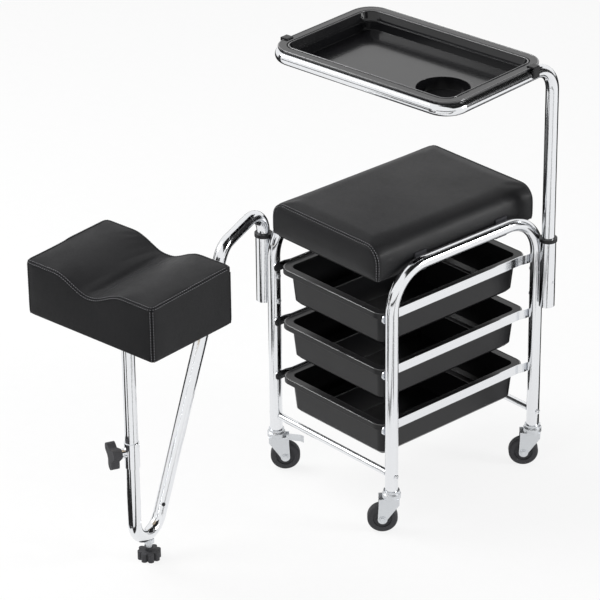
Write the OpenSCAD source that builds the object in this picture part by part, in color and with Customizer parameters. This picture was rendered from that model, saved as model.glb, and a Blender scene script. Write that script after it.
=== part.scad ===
// Pedicure trolley stool. Two bent tube side frames carry a padded seat and three sliding
// drawers on four swivel casters. A bent arm swings a saddle foot pad out at the front and a
// second arm swings a tool tray over the seat. Millimetres, +Z up, +X right, -Y to the front.

/* [Side frames] */
// Left post to right post, centre to centre
post_span = 288; // [250:1:330]
// Front post to rear post, centre to centre
post_depth = 333; // [290:1:390]
// Outer diameter of every frame and arm tube
tube_d = 22; // [20:0.5:26]
// Wall of the frame tube
tube_wall = 1.5; // [1.2:0.1:2.5]
// Height of the lower end of the posts
post_foot = 77; // [70:1:90]
// Height of the centre of the side frames' top run
top_height = 474; // [440:1:520]
// Centre line radius of the side frame bends
frame_bend = 70; // [55:1:80]

/* [Crossbars] */
// Diameter of the two low crossbars
crossbar_d = 12; // [10:0.5:16]
// Height of the crossbars
crossbar_height = 104; // [98:1:112]
// Shank diameter of the frame screws
screw_d = 5; // [4:0.5:6]

/* [Drawer rails] */
// Drop of the top rails below the side frames' top run
rail_drop = 84; // [80:1:90]
// Height of the bottom rails over the crossbars
rail_rise = 81; // [76:1:86]
// Height of the upright leg of a rail
rail_face = 16; // [12:0.5:20]
// Width of the shelf leg of a rail
rail_shelf = 13; // [10:0.5:15]
// Thickness of the rail strip
rail_thick = 1.5; // [1.2:0.1:2]
// How far the rail steps inwards between the posts
rail_step = 3; // [2:0.5:5]

/* [Drawers] */
// Height left free between one drawer and the rails of the next
drawer_space = 37.5; // [34:0.5:45]
// Drawer length over the rim
drawer_length = 337; // [300:1:345]
// Draft of the drawer walls from top to bottom
drawer_draft = 4.5; // [3:0.5:8]
// Wall of the drawer moulding
drawer_wall = 2.2; // [1.8:0.1:3]
// Height of the rolled rim
drawer_rim = 9.5; // [7:0.5:12]
// Corner radius of the drawer rim
drawer_corner = 22; // [14:1:30]

/* [Seat] */
// Height of the top of the seat cushion over the side frames' top run
seat_rise = 50; // [42:1:58]
// Thickness of the seat cushion
seat_thick = 70; // [60:1:80]
// Length of the seat cushion, front to back
seat_length = 362; // [330:1:380]
// Thickness of the seat board
board_thick = 10; // [8:1:15]
// Radius of the cushion's long upper edges
seat_round = 28; // [20:1:34]
// Radius of the cushion's other edges
seat_corner = 6; // [4:0.5:10]
// How far the middle of the seat stands above its edge
seat_crown = 3; // [2:0.5:6]

/* [Casters] */
// Wheel diameter
wheel_d = 51; // [45:1:60]
// Wheel width
wheel_w = 18; // [15:1:22]
// Distance of the wheel axle behind the swivel axis
caster_trail = 15; // [12:1:20]
// Diameter of the swivel bearing housing
swivel_d = 31; // [28:1:34]
// Heading of the front left caster
heading_front_left = 48; // [0:1:359]
// Heading of the other three casters
heading_others = 228; // [0:1:359]

/* [Sockets] */
// Outer diameter of the two arm sockets
socket_d = 27; // [25.5:0.5:32]
// Height of the socket tubes' tops over the top rails
socket_rise = 44; // [38:1:50]
// Drop of the upper socket bolt below the top rails
bolt_drop = 19; // [16:1:22]
// Length of the socket tubes below the lower bolt
socket_tail = 10; // [8:1:16]
// Drop of the cross pin that an arm stands on below the upper bolt
stop_drop = 10; // [8:1:12]

/* [Tray] */
// Tray length over the rim, side to side
tray_length = 384; // [340:1:420]
// Tray width over the rim, front to back
tray_width = 250; // [230:1:280]
// Inner depth of the tray
tray_depth = 31; // [25:1:45]
// Height of the centre of the tray ring tube
ring_height = 751; // [710:1:790]
// Bend radius at the top of the tray post
post_bend = 45; // [40:1:60]
// Bend radius at the corners of the tray ring
ring_bend = 32; // [28:1:45]
// How far the tray's rim reaches beyond the centre of the ring tube
rim_over = 6; // [4:0.5:8]
// Diameter of the cup well
cup_d = 88; // [70:1:92]
// Swing of the tray arm in the rest pose
tray_swing = 6; // [-10:0.1:30]

/* [Foot arm] */
// Reach of the foot arm from its socket to the pad post
arm_reach = 408; // [380:1:440]
// Swing of the foot arm in the rest pose, from straight ahead
arm_swing = 17; // [0:0.5:45]
// Turn of the first bend over the socket
arm_hook_angle = 100; // [92:1:110]
// Turn of the second bend, towards the floor
arm_drop_angle = 52.3; // [45:0.1:60]
// Centre line radius of the two upper bends
arm_bend = 40; // [34:1:50]
// Centre line radius of the low bend
foot_bend = 38.5; // [34:0.5:45]
// Height of the tube centre at the low bend
foot_rise = 46; // [40:1:55]
// Height of the top of the lower leg
leg_top = 207; // [195:1:220]
// Outer diameter of the inner slide tube
slide_d = 18.9; // [17:0.1:19]

/* [Foot pad] */
// Length of the foot pad across the arm
pad_length = 276; // [250:1:300]
// Width of the foot pad along the arm
pad_width = 186; // [160:1:200]
// Height of the underside of the foot pad
pad_base = 447; // [430:1:460]
// Thickness of the foot pad at its raised ends
pad_thick = 98; // [80:1:110]
// Depth of the leg channel across the pad
pad_dip = 22; // [10:1:30]
// Width of the leg channel
dip_width = 136; // [110:1:170]
// Corner radius of the foot pad
pad_corner = 7; // [5:0.5:12]
// How far the middle of the pad stands back from its post, towards the trolley
pad_back = 16; // [0:1:20]
// How far the middle of the pad stands to the left of its post
pad_left = 8; // [0:1:12]
// Turn of the pad on its post
pad_turn = -10; // [-20:1:20]

/* [Knobs] */
// Diameter of the clamp knob
knob_d = 50; // [40:1:56]
// Thickness of the clamp knob grip
knob_thick = 14; // [10:1:18]
// Diameter of the levelling foot
foot_d = 39; // [34:1:46]
// Height of the grip of the levelling foot
foot_thick = 15; // [12:1:18]
// Diameter of the levelling stud
stud_d = 10; // [8:1:12]
// Sub-part to draw, or all

/* [Hidden] */

$fn = 64;
// Gap left where two pieces meet
seat_gap = 0.2;
// Radial running clearance of tubes and shafts that turn or slide
run_gap = 0.05;
// Overrun of a cut past the face it opens
over = 1;
// Radii of the tube
tube_r = tube_d / 2;
bore_r = tube_r - tube_wall;
half_span = post_span / 2;
half_depth = post_depth / 2;
post_length = top_height - frame_bend - post_foot;
top_length = post_depth - 2 * frame_bend;

// Screws
screw_r = screw_d / 2;
screw_gap = 0.15;
head_r = screw_d * 0.95;
head_h = screw_d * 0.5;
key_r = screw_r * 0.62;
crossbar_r = crossbar_d / 2;
crossbar_half = half_span - tube_r - seat_gap;
thread_depth = 16;

// Rails
rail_out = half_span - tube_r - seat_gap;
rail_main = rail_out - rail_step;
tab_length = 15;
ramp_length = 12;
tab_over = 3;
tab_end = half_depth + tab_over;
rail_height = top_height - rail_drop;
rail_pitch = (rail_height - crossbar_height - rail_rise) / 2;
rail_base = rail_height - rail_face / 2;
rail_edge = rail_main - rail_shelf;

// Drawers
side_gap = 0.8;
shelf_gap = 0.3;
drawer_depth = rail_pitch - drawer_space;
drawer_half_x = rail_main - rail_thick - side_gap;
tub_half_x = rail_edge - 2 * side_gap;
rim_width = drawer_half_x - tub_half_x;
drawer_stand = 6;
drawer_front = -half_depth - drawer_stand;
drawer_half_y = drawer_length / 2;
drawer_mid_y = drawer_front + drawer_half_y;
tub_half_y = drawer_half_y - rim_width;
tub_ease = 4;
tub_corner = drawer_corner - rim_width + tub_ease;
divider_wall = 1.8;
divider_drop = 12;
divider_y = drawer_length * 0.19;
divider_x = -drawer_half_x * 0.2;
lip_base = rail_base + rail_thick + shelf_gap;
sliver = 0.1;

// Seat
seat_base = top_height + seat_rise - seat_thick;
board_inset = 9;
strap_thick = 2;
strap_width = 25;
strap_y = 92;
strap_half = half_span - tube_r - seat_gap;
strap_base = seat_base - strap_thick - seat_gap;
strap_screw_r = 3;
cushion_half_x = strap_half - strap_thick - seat_gap;
cushion_half_y = seat_length / 2;
cushion_mid_y = -5;
board_screw_x = cushion_half_x * 0.6;

// Sockets
socket_r = socket_d / 2;
socket_wall = 1.25;
socket_bore = socket_r - socket_wall;
socket_space = 1;
socket_off = half_span + tube_r + socket_space + socket_r;
bush_lip = 1.6;
bush_flange_r = socket_r + bush_lip;
bush_flange_h = 6;
bush_length = 30;
bush_gap = 0.02;
socket_top = rail_height + socket_rise;
upper_bolt = rail_height - bolt_drop;
lower_bolt = rail_height - rail_pitch * 0.64;
bolt_heights = [upper_bolt, lower_bolt];
socket_length = socket_top - lower_bolt + socket_tail;
stop_height = upper_bolt - stop_drop;
pin_r = 2.4;
arm_foot = stop_height + pin_r + seat_gap;
bush_bore = tube_r + run_gap;

// Casters
wheel_r = wheel_d / 2;
axle_r = 4;
axle_head_r = 6.2;
leg_thick = 2;
wheel_side_gap = 1.2;
fork_half = wheel_w / 2 + wheel_side_gap;
swivel_r = swivel_d / 2;
stem_r = bore_r - run_gap;
stem_clear = 1.5;
stem_length = crossbar_height - screw_r - stem_clear - post_foot;
stem_lip = 2.5;
stem_flange_r = tube_r + stem_lip;
stem_flange_h = 3;
swivel_h = 10;
swivel_bevel = 3;
pivot_r = 5;
swivel_top = post_foot - stem_flange_h - seat_gap;
swivel_base = swivel_top - swivel_h;
crown_thick = 2.5;
crown_base = swivel_base - crown_thick;
leg_half = 13;
leg_foot_r = 8;
hub_r = wheel_r * 0.62;
hub_recess = 2;
hub_boss_r = wheel_r * 0.33;
tread_round = 4;
brake_out = 1.5;
brake_down = 2.6;
brake_pivot_x = swivel_r + brake_out;
brake_pivot_z = crown_base - brake_down;
brake_pivot_r = 2;
brake_reach = 30;
brake_thick = 2;
brake_width = 2 * (fork_half - seat_gap);
brake_lug = 4.5;
brake_drop = 6;

// Tray and its arm
tray_half_x = tray_length / 2;
tray_half_y = tray_width / 2;
skin = 2;
ring_gap = 0.5;
ring_x = tray_half_x - rim_over;
ring_y = tray_half_y - rim_over;
tray_in_x = ring_x - tube_r - ring_gap;
tray_in_y = ring_y - tube_r - ring_gap;
rim_base = ring_height + tube_r + seat_gap;
rim_top = rim_base + 1.8 * skin;
tray_floor = rim_top - tray_depth - skin;
tray_draft = 2;
tray_step = 2.5;
tray_corner = ring_bend + rim_over;
tub_round = ring_bend - tube_r - ring_gap;
flare = 4;
flare_depth = 9;
post_out = 20;
post_back = tray_half_y + post_out;
right_run = post_back - post_bend + ring_y - ring_bend;
front_run = 2 * (ring_x - ring_bend);
left_run = ring_y + tray_half_y * 0.5 - ring_bend;
cup_r = cup_d / 2;
cup_side = 8;
cup_front = 7;
cup_x = tray_in_x - cup_r - cup_side;
cup_y = -(tray_in_y - cup_r - cup_front);
cup_land = 7;
cup_flare = 8;
cup_drop = 9;
plug_h = 4;
plug_depth = 14;
clip_wall = 2.4;
clip_width = 14;

// Foot arm, solved so that the reach and the two heights meet
lean = arm_hook_angle - 90;
slope = lean + arm_drop_angle;
hook_rise = 1;
hook_height = socket_top + bush_flange_h + hook_rise;
need_x = arm_reach - arm_bend * (1 - cos(arm_hook_angle)) - arm_bend * (sin(slope) - sin(lean))
  - foot_bend * (1 + sin(slope));
need_z = hook_height + arm_bend * sin(arm_hook_angle) - arm_bend * (cos(lean) - cos(slope))
  + foot_bend * (cos(slope) - 1) - foot_rise;
bridge = (need_x * sin(slope) - need_z * cos(slope)) / sin(slope - lean);
drop = (need_z * cos(lean) - need_x * sin(lean)) / sin(slope - lean);
leg_start = foot_rise + foot_bend;
// The bends of the foot arm are a hair thicker than its straights, which lap into them
swell = 0.1;
lap = 0.3;
foot_reach = arm_reach - foot_bend;
arm_plug_r = 2.5;
arm_plug_up = 17;
arm_plug_turn = 135;

// Pad post and clamp
collar_wall = 1.6;
collar_r = tube_r + collar_wall;
collar_length = 45;
collar_lap = 16;
collar_base = leg_top - collar_lap;
clamp_rise = 11;
clamp_height = leg_top + clamp_rise;
clamp_turn = -37;
clamp_screw_r = 4;
clamp_boss_r = 8;
boss_length = 7;
clamp_boss_out = tube_r + boss_length;
slide_r = slide_d / 2;
slide_length = 200;
slide_rise = 140;
plate_thick = 3;
plate_x = 110;
plate_y = 80;
plate_top = pad_base - seat_gap;
post_top = plate_top - plate_thick;
pad_board_thick = 12;
pad_inset = 8;
pad_half_x = pad_length / 2;
pad_half_y = pad_width / 2;
pad_top = pad_base + pad_thick;
pad_round = 4;

// Knobs
knob_hub_r = knob_d * 0.24;
knob_lobe_r = knob_d * 0.17;
knob_stand = 6;
knob_out = clamp_boss_out + knob_stand;
knob_neck = 5;
lobes = 3;
foot_lobes = 8;
foot_lobe_r = foot_d * 0.13;
foot_hub_r = 6.5;
foot_hub_h = 6;
nut_r = 9;
nut_h = 8;
stud_over = 3;
stud_top = foot_rise + stud_over;

// Place of the two arms and of the whole part: the origin is under the middle of the box
function turned(p, a) = [p[0] * cos(a) - p[1] * sin(a), p[0] * sin(a) + p[1] * cos(a)];
function spread(x, y, r, a) = (x - r) * abs(cos(a)) + (y - r) * abs(sin(a)) + r;
tray_axis = [socket_off, half_depth];
foot_axis = [-socket_off, -half_depth];
tray_mid = tray_axis + turned([-ring_x, -post_back], tray_swing);
pad_mid = foot_axis + turned([0, -arm_reach], arm_swing);
pad_yaw = arm_swing + pad_turn;
pad_centre = pad_mid + turned([-pad_back, -pad_left], pad_yaw - 90);
box_front = pad_centre[1] - spread(pad_half_y, pad_half_x, pad_corner, pad_yaw);
crown_reach = leg_half * abs(sin(heading_others))
  + (fork_half + leg_thick) * abs(cos(heading_others));
box_rear = half_depth + max(swivel_r, bush_flange_r, crown_reach);
box_left = min(pad_centre[0] - spread(pad_half_x, pad_half_y, pad_corner, pad_yaw),
  tray_mid[0] - spread(tray_half_x, tray_half_y, tray_corner, tray_swing));
box_right = tray_mid[0] + spread(ring_x + tube_r, ring_y + tube_r, ring_bend + tube_r, tray_swing);
origin_shift = [-(box_left + box_right) / 2, -(box_front + box_rear) / 2, 0];

chrome = [0.82, 0.83, 0.85];
zinc = [0.68, 0.70, 0.72];
black = [0.06, 0.06, 0.065];
hide = [0.09, 0.09, 0.10];
dark_steel = [0.14, 0.14, 0.15];
timber = [0.72, 0.58, 0.40];

// Draws its children from the part's origin
module placed() {
  translate(origin_shift) children();
}

// A straight length of round bar along the path, then whatever follows it. The laps reach a
// little into the bends before and after it.
module straight(length, r, lap_in = 0, lap_out = 0) {
  translate([0, 0, -lap_in]) cylinder(h = length + lap_in + lap_out, r = r);
  translate([0, 0, length]) children();
}

// A bend of the path from +Z towards +X, then whatever follows it
module bend(radius, angle, r) {
  translate([radius, 0, 0]) rotate([90, 0, 0]) rotate([0, 0, 180 - angle])
    rotate_extrude(angle = angle) translate([radius, 0]) circle(r = r);
  translate([radius * (1 - cos(angle)), 0, radius * sin(angle)])
    rotate([0, angle, 0]) children();
}

// A flat shape with round corners
module round_rect(x, y, r) {
  square([2 * (x - r), 2 * y], center = true);
  square([2 * x, 2 * (y - r)], center = true);
  for (i = [-1, 1], j = [-1, 1]) translate([i * (x - r), j * (y - r)]) circle(r = r);
}

// Four discs at the corners of a box, for a hull
module corner_discs(x, y, r, h = sliver) {
  for (i = [-1, 1], j = [-1, 1])
    translate([i * (x - r), j * (y - r), 0]) cylinder(h = h, r = r, $fn = 32);
}

// A button head screw: its head stands on z = 0, its shank goes down
module button_screw(length, r) {
  difference() {
    union() {
      translate([0, 0, -length]) cylinder(h = length, r = r);
      cylinder(h = head_h * 0.4, r = head_r);
      translate([0, 0, head_h * 0.4]) cylinder(h = head_h * 0.6, r1 = head_r, r2 = head_r * 0.62);
    }
    translate([0, 0, head_h * 0.35]) cylinder(h = head_h, r = key_r * r / screw_r, $fn = 6);
  }
}

// Side frames
module frame_path(r, extra) {
  translate([0, -half_depth, post_foot - extra]) rotate([0, 0, 90])
    straight(post_length + extra, r) bend(frame_bend, 90, r)
    straight(top_length, r) bend(frame_bend, 90, r) straight(post_length + extra, r);
}

module side_frame(side, socket_y) {
  color(chrome) placed() translate([side * half_span, 0, 0]) difference() {
    frame_path(tube_r, 0);
    frame_path(bore_r, over);
    for (j = [-1, 1]) translate([0, j * half_depth, crossbar_height]) rotate([0, 90, 0])
      cylinder(h = 2 * tube_d, r = screw_r + screw_gap, center = true);
    for (z = bolt_heights) translate([0, socket_y, z]) rotate([0, 90, 0])
      cylinder(h = 2 * tube_d, r = screw_r + screw_gap, center = true);
    for (j = [-1, 1]) translate([0, j * strap_y, top_height]) rotate([0, -side * 90, 0])
      cylinder(h = tube_d, r = strap_screw_r + screw_gap);
  }
}
module side_frame_right() { side_frame(1, half_depth); }
module side_frame_left() { side_frame(-1, -half_depth); }

// Crossbars
module crossbar(j) {
  color(chrome) placed() translate([0, j * half_depth, crossbar_height]) rotate([0, 90, 0])
    difference() {
      cylinder(h = 2 * crossbar_half, r = crossbar_r, center = true);
      for (i = [-1, 1]) translate([0, 0, i * crossbar_half])
        cylinder(h = 2 * (thread_depth + over), r = screw_r + run_gap, center = true);
    }
}
module crossbar_front() { crossbar(-1); }
module crossbar_rear() { crossbar(1); }

module crossbar_screws() {
  color(zinc) placed() for (i = [-1, 1], j = [-1, 1])
    translate([i * (half_span + tube_r + seat_gap), j * half_depth, crossbar_height])
      rotate([0, i * 90, 0]) button_screw(tube_d + thread_depth, screw_r);
}

// Drawer rails
module rail(side, level) {
  tab_start = tab_end - tab_length;
  ramp_start = tab_start - ramp_length;
  color(chrome) placed() translate([0, 0, rail_base - level * rail_pitch])
    scale([side, 1, 1]) {
      translate([rail_main - rail_thick, -ramp_start, 0])
        cube([rail_thick, 2 * ramp_start, rail_face]);
      for (j = [-1, 1]) {
        linear_extrude(height = rail_face) polygon([
          [rail_main, j * ramp_start], [rail_main - rail_thick, j * ramp_start],
          [rail_out - rail_thick, j * tab_start], [rail_out, j * tab_start]]);
        translate([rail_out - rail_thick, 0, rail_face / 2]) rotate([90, 0, 90])
          linear_extrude(height = rail_thick) {
            translate([j * (tab_start + tab_length / 2), 0])
              square([tab_length, rail_face], center = true);
            translate([j * tab_end, 0]) circle(r = rail_face / 2);
          }
      }
      linear_extrude(height = rail_thick) polygon([
        [rail_main - rail_thick / 2, -ramp_start], [rail_main - rail_thick / 2, ramp_start],
        [rail_edge, ramp_start - rail_shelf], [rail_edge, -ramp_start + rail_shelf]]);
    }
}
module rail_right_top() { rail(1, 0); }
module rail_right_middle() { rail(1, 1); }
module rail_right_bottom() { rail(1, 2); }
module rail_left_top() { rail(-1, 0); }
module rail_left_middle() { rail(-1, 1); }
module rail_left_bottom() { rail(-1, 2); }

// Drawers
module drawer_tub(inset, floor_up, extra) {
  low = -drawer_depth + floor_up;
  soft = tub_corner * 0.5;
  hull() {
    translate([0, 0, extra]) corner_discs(tub_half_x - inset, tub_half_y - inset, tub_corner - inset);
    translate([0, 0, low + soft])
      corner_discs(tub_half_x - drawer_draft - inset, tub_half_y - drawer_draft - inset,
        tub_corner - inset);
    translate([0, 0, low])
      corner_discs(tub_half_x - drawer_draft - soft, tub_half_y - drawer_draft - soft,
        tub_corner - soft);
  }
}

module drawer(level) {
  rim_bottom = lip_base - level * rail_pitch;
  color(black) placed() translate([0, drawer_mid_y, rim_bottom + drawer_rim - drawer_wall]) {
    difference() {
      drawer_tub(0, 0, 0);
      drawer_tub(drawer_wall, drawer_wall, over);
    }
    linear_extrude(height = drawer_wall) difference() {
      round_rect(drawer_half_x, drawer_half_y, drawer_corner);
      round_rect(tub_half_x - drawer_wall, tub_half_y - drawer_wall, tub_corner - drawer_wall);
    }
    translate([0, 0, drawer_wall - drawer_rim]) linear_extrude(height = drawer_rim) difference() {
      round_rect(drawer_half_x, drawer_half_y, drawer_corner);
      round_rect(drawer_half_x - drawer_wall, drawer_half_y - drawer_wall,
        drawer_corner - drawer_wall);
    }
    intersection() {
      drawer_tub(drawer_wall / 2, drawer_wall / 2, 0);
      translate([-tub_half_x, divider_y, -drawer_depth])
        cube([2 * tub_half_x, divider_wall, drawer_depth - divider_drop]);
    }
    intersection() {
      drawer_tub(drawer_wall / 2, drawer_wall / 2, 0);
      translate([divider_x, -tub_half_y, -drawer_depth])
        cube([divider_wall, tub_half_y + divider_y + divider_wall / 2,
          drawer_depth - divider_drop]);
    }
  }
}
module drawer_top() { drawer(0); }
module drawer_middle() { drawer(1); }
module drawer_bottom() { drawer(2); }

// Seat
module seat_straps() {
  tab_height = top_height + strap_width / 2 - strap_base;
  color(dark_steel) placed() for (j = [-1, 1]) difference() {
    union() {
      translate([-strap_half, j * strap_y - strap_width / 2, strap_base])
        cube([2 * strap_half, strap_width, strap_thick]);
      for (i = [-1, 1])
        translate([i * (strap_half - strap_thick / 2) - strap_thick / 2, j * strap_y - strap_width / 2,
          strap_base]) cube([strap_thick, strap_width, tab_height]);
    }
    for (i = [-1, 1]) {
      translate([i * strap_half, j * strap_y, top_height]) rotate([0, 90, 0])
        cylinder(h = 4 * strap_thick, r = strap_screw_r + screw_gap, center = true);
      translate([i * board_screw_x, j * strap_y, strap_base - over])
        cylinder(h = strap_thick + 2 * over, r = screw_r + screw_gap);
    }
  }
}

module seat_strap_screws() {
  color(zinc) placed() for (i = [-1, 1], j = [-1, 1])
    translate([i * (strap_half - strap_thick), j * strap_y, top_height]) rotate([0, -i * 90, 0])
      button_screw(strap_thick + seat_gap + tube_r, strap_screw_r);
}

module seat_board() {
  color(timber) placed() translate([0, cushion_mid_y, seat_base]) difference() {
    linear_extrude(height = board_thick)
      round_rect(cushion_half_x - board_inset, cushion_half_y - board_inset, seat_corner);
    for (i = [-1, 1], j = [-1, 1])
      translate([i * board_screw_x, j * strap_y - cushion_mid_y, -over])
        cylinder(h = board_thick * 0.8 + over, r = screw_r + run_gap);
  }
}

module seat_board_screws() {
  color(zinc) placed() for (i = [-1, 1], j = [-1, 1])
    translate([i * board_screw_x, j * strap_y, strap_base]) rotate([180, 0, 0])
      button_screw(strap_thick + board_thick * 0.7, screw_r);
}

// The seat cushion as a plain soft block: upright ends, round long edges, a low crown, and
// pockets for the heads of the strap screws
module seat_profile(inset) {
  crown_r = seat_thick / 2;
  hull() {
    for (i = [-1, 1]) {
      translate([i * (cushion_half_x - seat_corner), seat_corner]) circle(r = seat_corner - inset);
      translate([i * (cushion_half_x - seat_round), seat_thick - seat_crown - seat_round])
        circle(r = seat_round - inset);
    }
    translate([0, seat_thick - crown_r]) circle(r = crown_r - inset);
  }
}

module seat_cushion() {
  edge = seat_corner * 0.6;
  color(hide) placed() translate([0, cushion_mid_y, seat_base]) difference() {
    hull() {
      rotate([90, 0, 0]) linear_extrude(height = 2 * (cushion_half_y - edge), center = true)
        seat_profile(0);
      rotate([90, 0, 0]) linear_extrude(height = 2 * cushion_half_y, center = true)
        seat_profile(edge);
    }
    translate([0, 0, -over]) linear_extrude(height = board_thick + seat_gap + over)
      round_rect(cushion_half_x - board_inset + seat_gap, cushion_half_y - board_inset + seat_gap,
        seat_corner);
    for (i = [-1, 1], j = [-1, 1])
      translate([i * cushion_half_x, j * strap_y - cushion_mid_y, top_height - seat_base])
        rotate([0, 90, 0]) cylinder(h = 2 * (head_h + seat_gap), r = head_r + seat_gap, center = true);
  }
}

// Sockets
module socket(axis, side) {
  color(chrome) placed() translate([axis[0], axis[1], socket_top - socket_length]) difference() {
    cylinder(h = socket_length, r = socket_r);
    translate([0, 0, -over]) cylinder(h = socket_length + 2 * over, r = socket_bore);
    translate([0, 0, stop_height - socket_top + socket_length]) rotate([0, 90, 0])
      cylinder(h = 2 * socket_d, r = pin_r, center = true);
    for (z = bolt_heights)
      translate([0, 0, z - socket_top + socket_length]) rotate([0, -side * 90, 0])
        cylinder(h = socket_d, r = screw_r + run_gap);
  }
}
module foot_socket() { socket(foot_axis, -1); }
module tray_socket() { socket(tray_axis, 1); }

module socket_bush(axis) {
  color(black) placed() translate([axis[0], axis[1], socket_top]) difference() {
    union() {
      translate([0, 0, -bush_length]) cylinder(h = bush_length, r = socket_bore - bush_gap);
      translate([0, 0, bush_gap]) cylinder(h = bush_flange_h - bush_gap, r = bush_flange_r);
      cylinder(h = bush_flange_h / 2, r = socket_bore - bush_gap);
    }
    translate([0, 0, -bush_length - over])
      cylinder(h = bush_length + bush_flange_h + 2 * over, r = bush_bore);
  }
}
module foot_socket_bush() { socket_bush(foot_axis); }
module tray_socket_bush() { socket_bush(tray_axis); }

module socket_bolts(axis, side) {
  color(zinc) placed() {
    for (z = bolt_heights) translate([side * (half_span - tube_r - seat_gap), axis[1], z])
      rotate([0, -side * 90, 0])
        button_screw(tube_d + socket_space + socket_wall + seat_gap, screw_r);
    for (z = bolt_heights) translate([side * (half_span + tube_r + socket_space / 2), axis[1], z])
      rotate([0, 90, 0]) difference() {
        cylinder(h = socket_space - 2 * bush_gap, r = screw_d, center = true);
        cylinder(h = socket_space, r = screw_r + bush_gap, center = true);
      }
    translate([axis[0], axis[1], stop_height]) rotate([0, 90, 0]) {
      cylinder(h = socket_d, r = pin_r - bush_gap, center = true);
      for (i = [-1, 1]) translate([0, 0, i * (socket_r + seat_gap / 2)])
        cylinder(h = seat_gap * 3, r = pin_r * 0.9, center = true);
    }
  }
}
module foot_socket_bolts() { socket_bolts(foot_axis, -1); }
module tray_socket_bolts() { socket_bolts(tray_axis, 1); }

// Casters
module at_posts() {
  for (i = [-1, 1], j = [-1, 1]) translate([i * half_span, j * half_depth, 0]) children();
}

module caster_stems() {
  color(chrome) placed() at_posts() {
    translate([0, 0, post_foot - stem_flange_h]) cylinder(h = stem_length + stem_flange_h, r = stem_r);
    translate([0, 0, post_foot - stem_flange_h - bush_gap])
      cylinder(h = stem_flange_h - bush_gap, r = stem_flange_r);
    translate([0, 0, crown_base - crown_thick])
      cylinder(h = stem_flange_h + swivel_h + 2 * crown_thick, r = pivot_r);
    translate([0, 0, crown_base - crown_thick]) cylinder(h = crown_thick - seat_gap, r = pivot_r + stem_lip);
  }
}

module at_caster(i, j, heading) {
  placed() translate([i * half_span, j * half_depth, 0]) rotate([0, 0, heading]) children();
}

module caster_fork(i, j, heading, braked) {
  ear = brake_pivot_x + brake_lug;
  color(zinc) at_caster(i, j, heading) difference() {
    union() {
      translate([0, 0, swivel_base]) cylinder(h = swivel_h * 0.7, r = swivel_r);
      translate([0, 0, swivel_base + swivel_h * 0.7])
        cylinder(h = swivel_h * 0.3, r1 = swivel_r, r2 = swivel_r - swivel_bevel);
      translate([0, 0, crown_base]) cylinder(h = crown_thick, r = swivel_r - swivel_bevel / 2);
      translate([-leg_half, -fork_half - leg_thick, crown_base])
        cube([2 * leg_half, 2 * (fork_half + leg_thick), crown_thick]);
      for (k = [-1, 1]) translate([0, k * (fork_half + leg_thick / 2), 0]) rotate([90, 0, 0])
        linear_extrude(height = leg_thick, center = true) {
          polygon([[-leg_half, crown_base + crown_thick], [ear, crown_base + crown_thick],
            [ear, crown_base - leg_foot_r], [caster_trail + leg_foot_r, wheel_r],
            [caster_trail - leg_foot_r, wheel_r], [-leg_half, crown_base - leg_foot_r]]);
          translate([caster_trail, wheel_r]) circle(r = leg_foot_r);
        }
    }
    translate([0, 0, crown_base - over])
      cylinder(h = swivel_h + crown_thick + 2 * over, r = pivot_r + run_gap);
    translate([caster_trail, 0, wheel_r]) rotate([90, 0, 0])
      cylinder(h = 4 * fork_half, r = axle_r + bush_gap, center = true);
    if (braked) translate([brake_pivot_x, 0, brake_pivot_z]) rotate([90, 0, 0])
      cylinder(h = 4 * fork_half, r = brake_pivot_r + run_gap, center = true);
  }
}

module caster_axle(i, j, heading) {
  color(zinc) at_caster(i, j, heading) translate([caster_trail, 0, wheel_r]) rotate([90, 0, 0]) {
    cylinder(h = 2 * (fork_half + leg_thick) + 2 * seat_gap, r = axle_r, center = true);
    for (k = [-1, 1]) scale([1, 1, k]) translate([0, 0, fork_half + leg_thick + bush_gap]) {
      cylinder(h = leg_thick * 0.6, r = axle_head_r);
      cylinder(h = leg_thick * 1.3, r = axle_head_r * 0.72, $fn = 6);
    }
  }
}

module caster_wheel(i, j, heading) {
  half = wheel_w / 2;
  color(black) at_caster(i, j, heading) translate([caster_trail, 0, wheel_r])
    rotate([90, 0, 0]) rotate_extrude() {
      translate([axle_r + run_gap, -half + hub_recess])
        square([wheel_r - tread_round - axle_r - run_gap, wheel_w - 2 * hub_recess]);
      translate([axle_r + run_gap, -half]) square([hub_boss_r - axle_r - run_gap, wheel_w]);
      translate([hub_r, -half]) square([wheel_r - tread_round - hub_r, wheel_w]);
      translate([wheel_r - 2 * tread_round, -half + tread_round])
        square([2 * tread_round, wheel_w - 2 * tread_round]);
      for (k = [-1, 1]) translate([wheel_r - tread_round, k * (half - tread_round)])
        circle(r = tread_round);
    }
}

module brake_lever(i, j, heading) {
  color(zinc) at_caster(i, j, heading) translate([brake_pivot_x, 0, brake_pivot_z])
    rotate([90, 0, 0]) {
      linear_extrude(height = brake_width, center = true) polygon([
        [brake_lug * 0.5, 0], [brake_reach * 0.8, -brake_drop * 0.5], [brake_reach, -brake_drop],
        [brake_reach, -brake_drop + brake_thick],
        [brake_reach * 0.8, -brake_drop * 0.5 + brake_thick], [0, brake_thick]]);
      cylinder(h = 2 * (fork_half + leg_thick), r = brake_pivot_r, center = true);
    }
}

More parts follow.
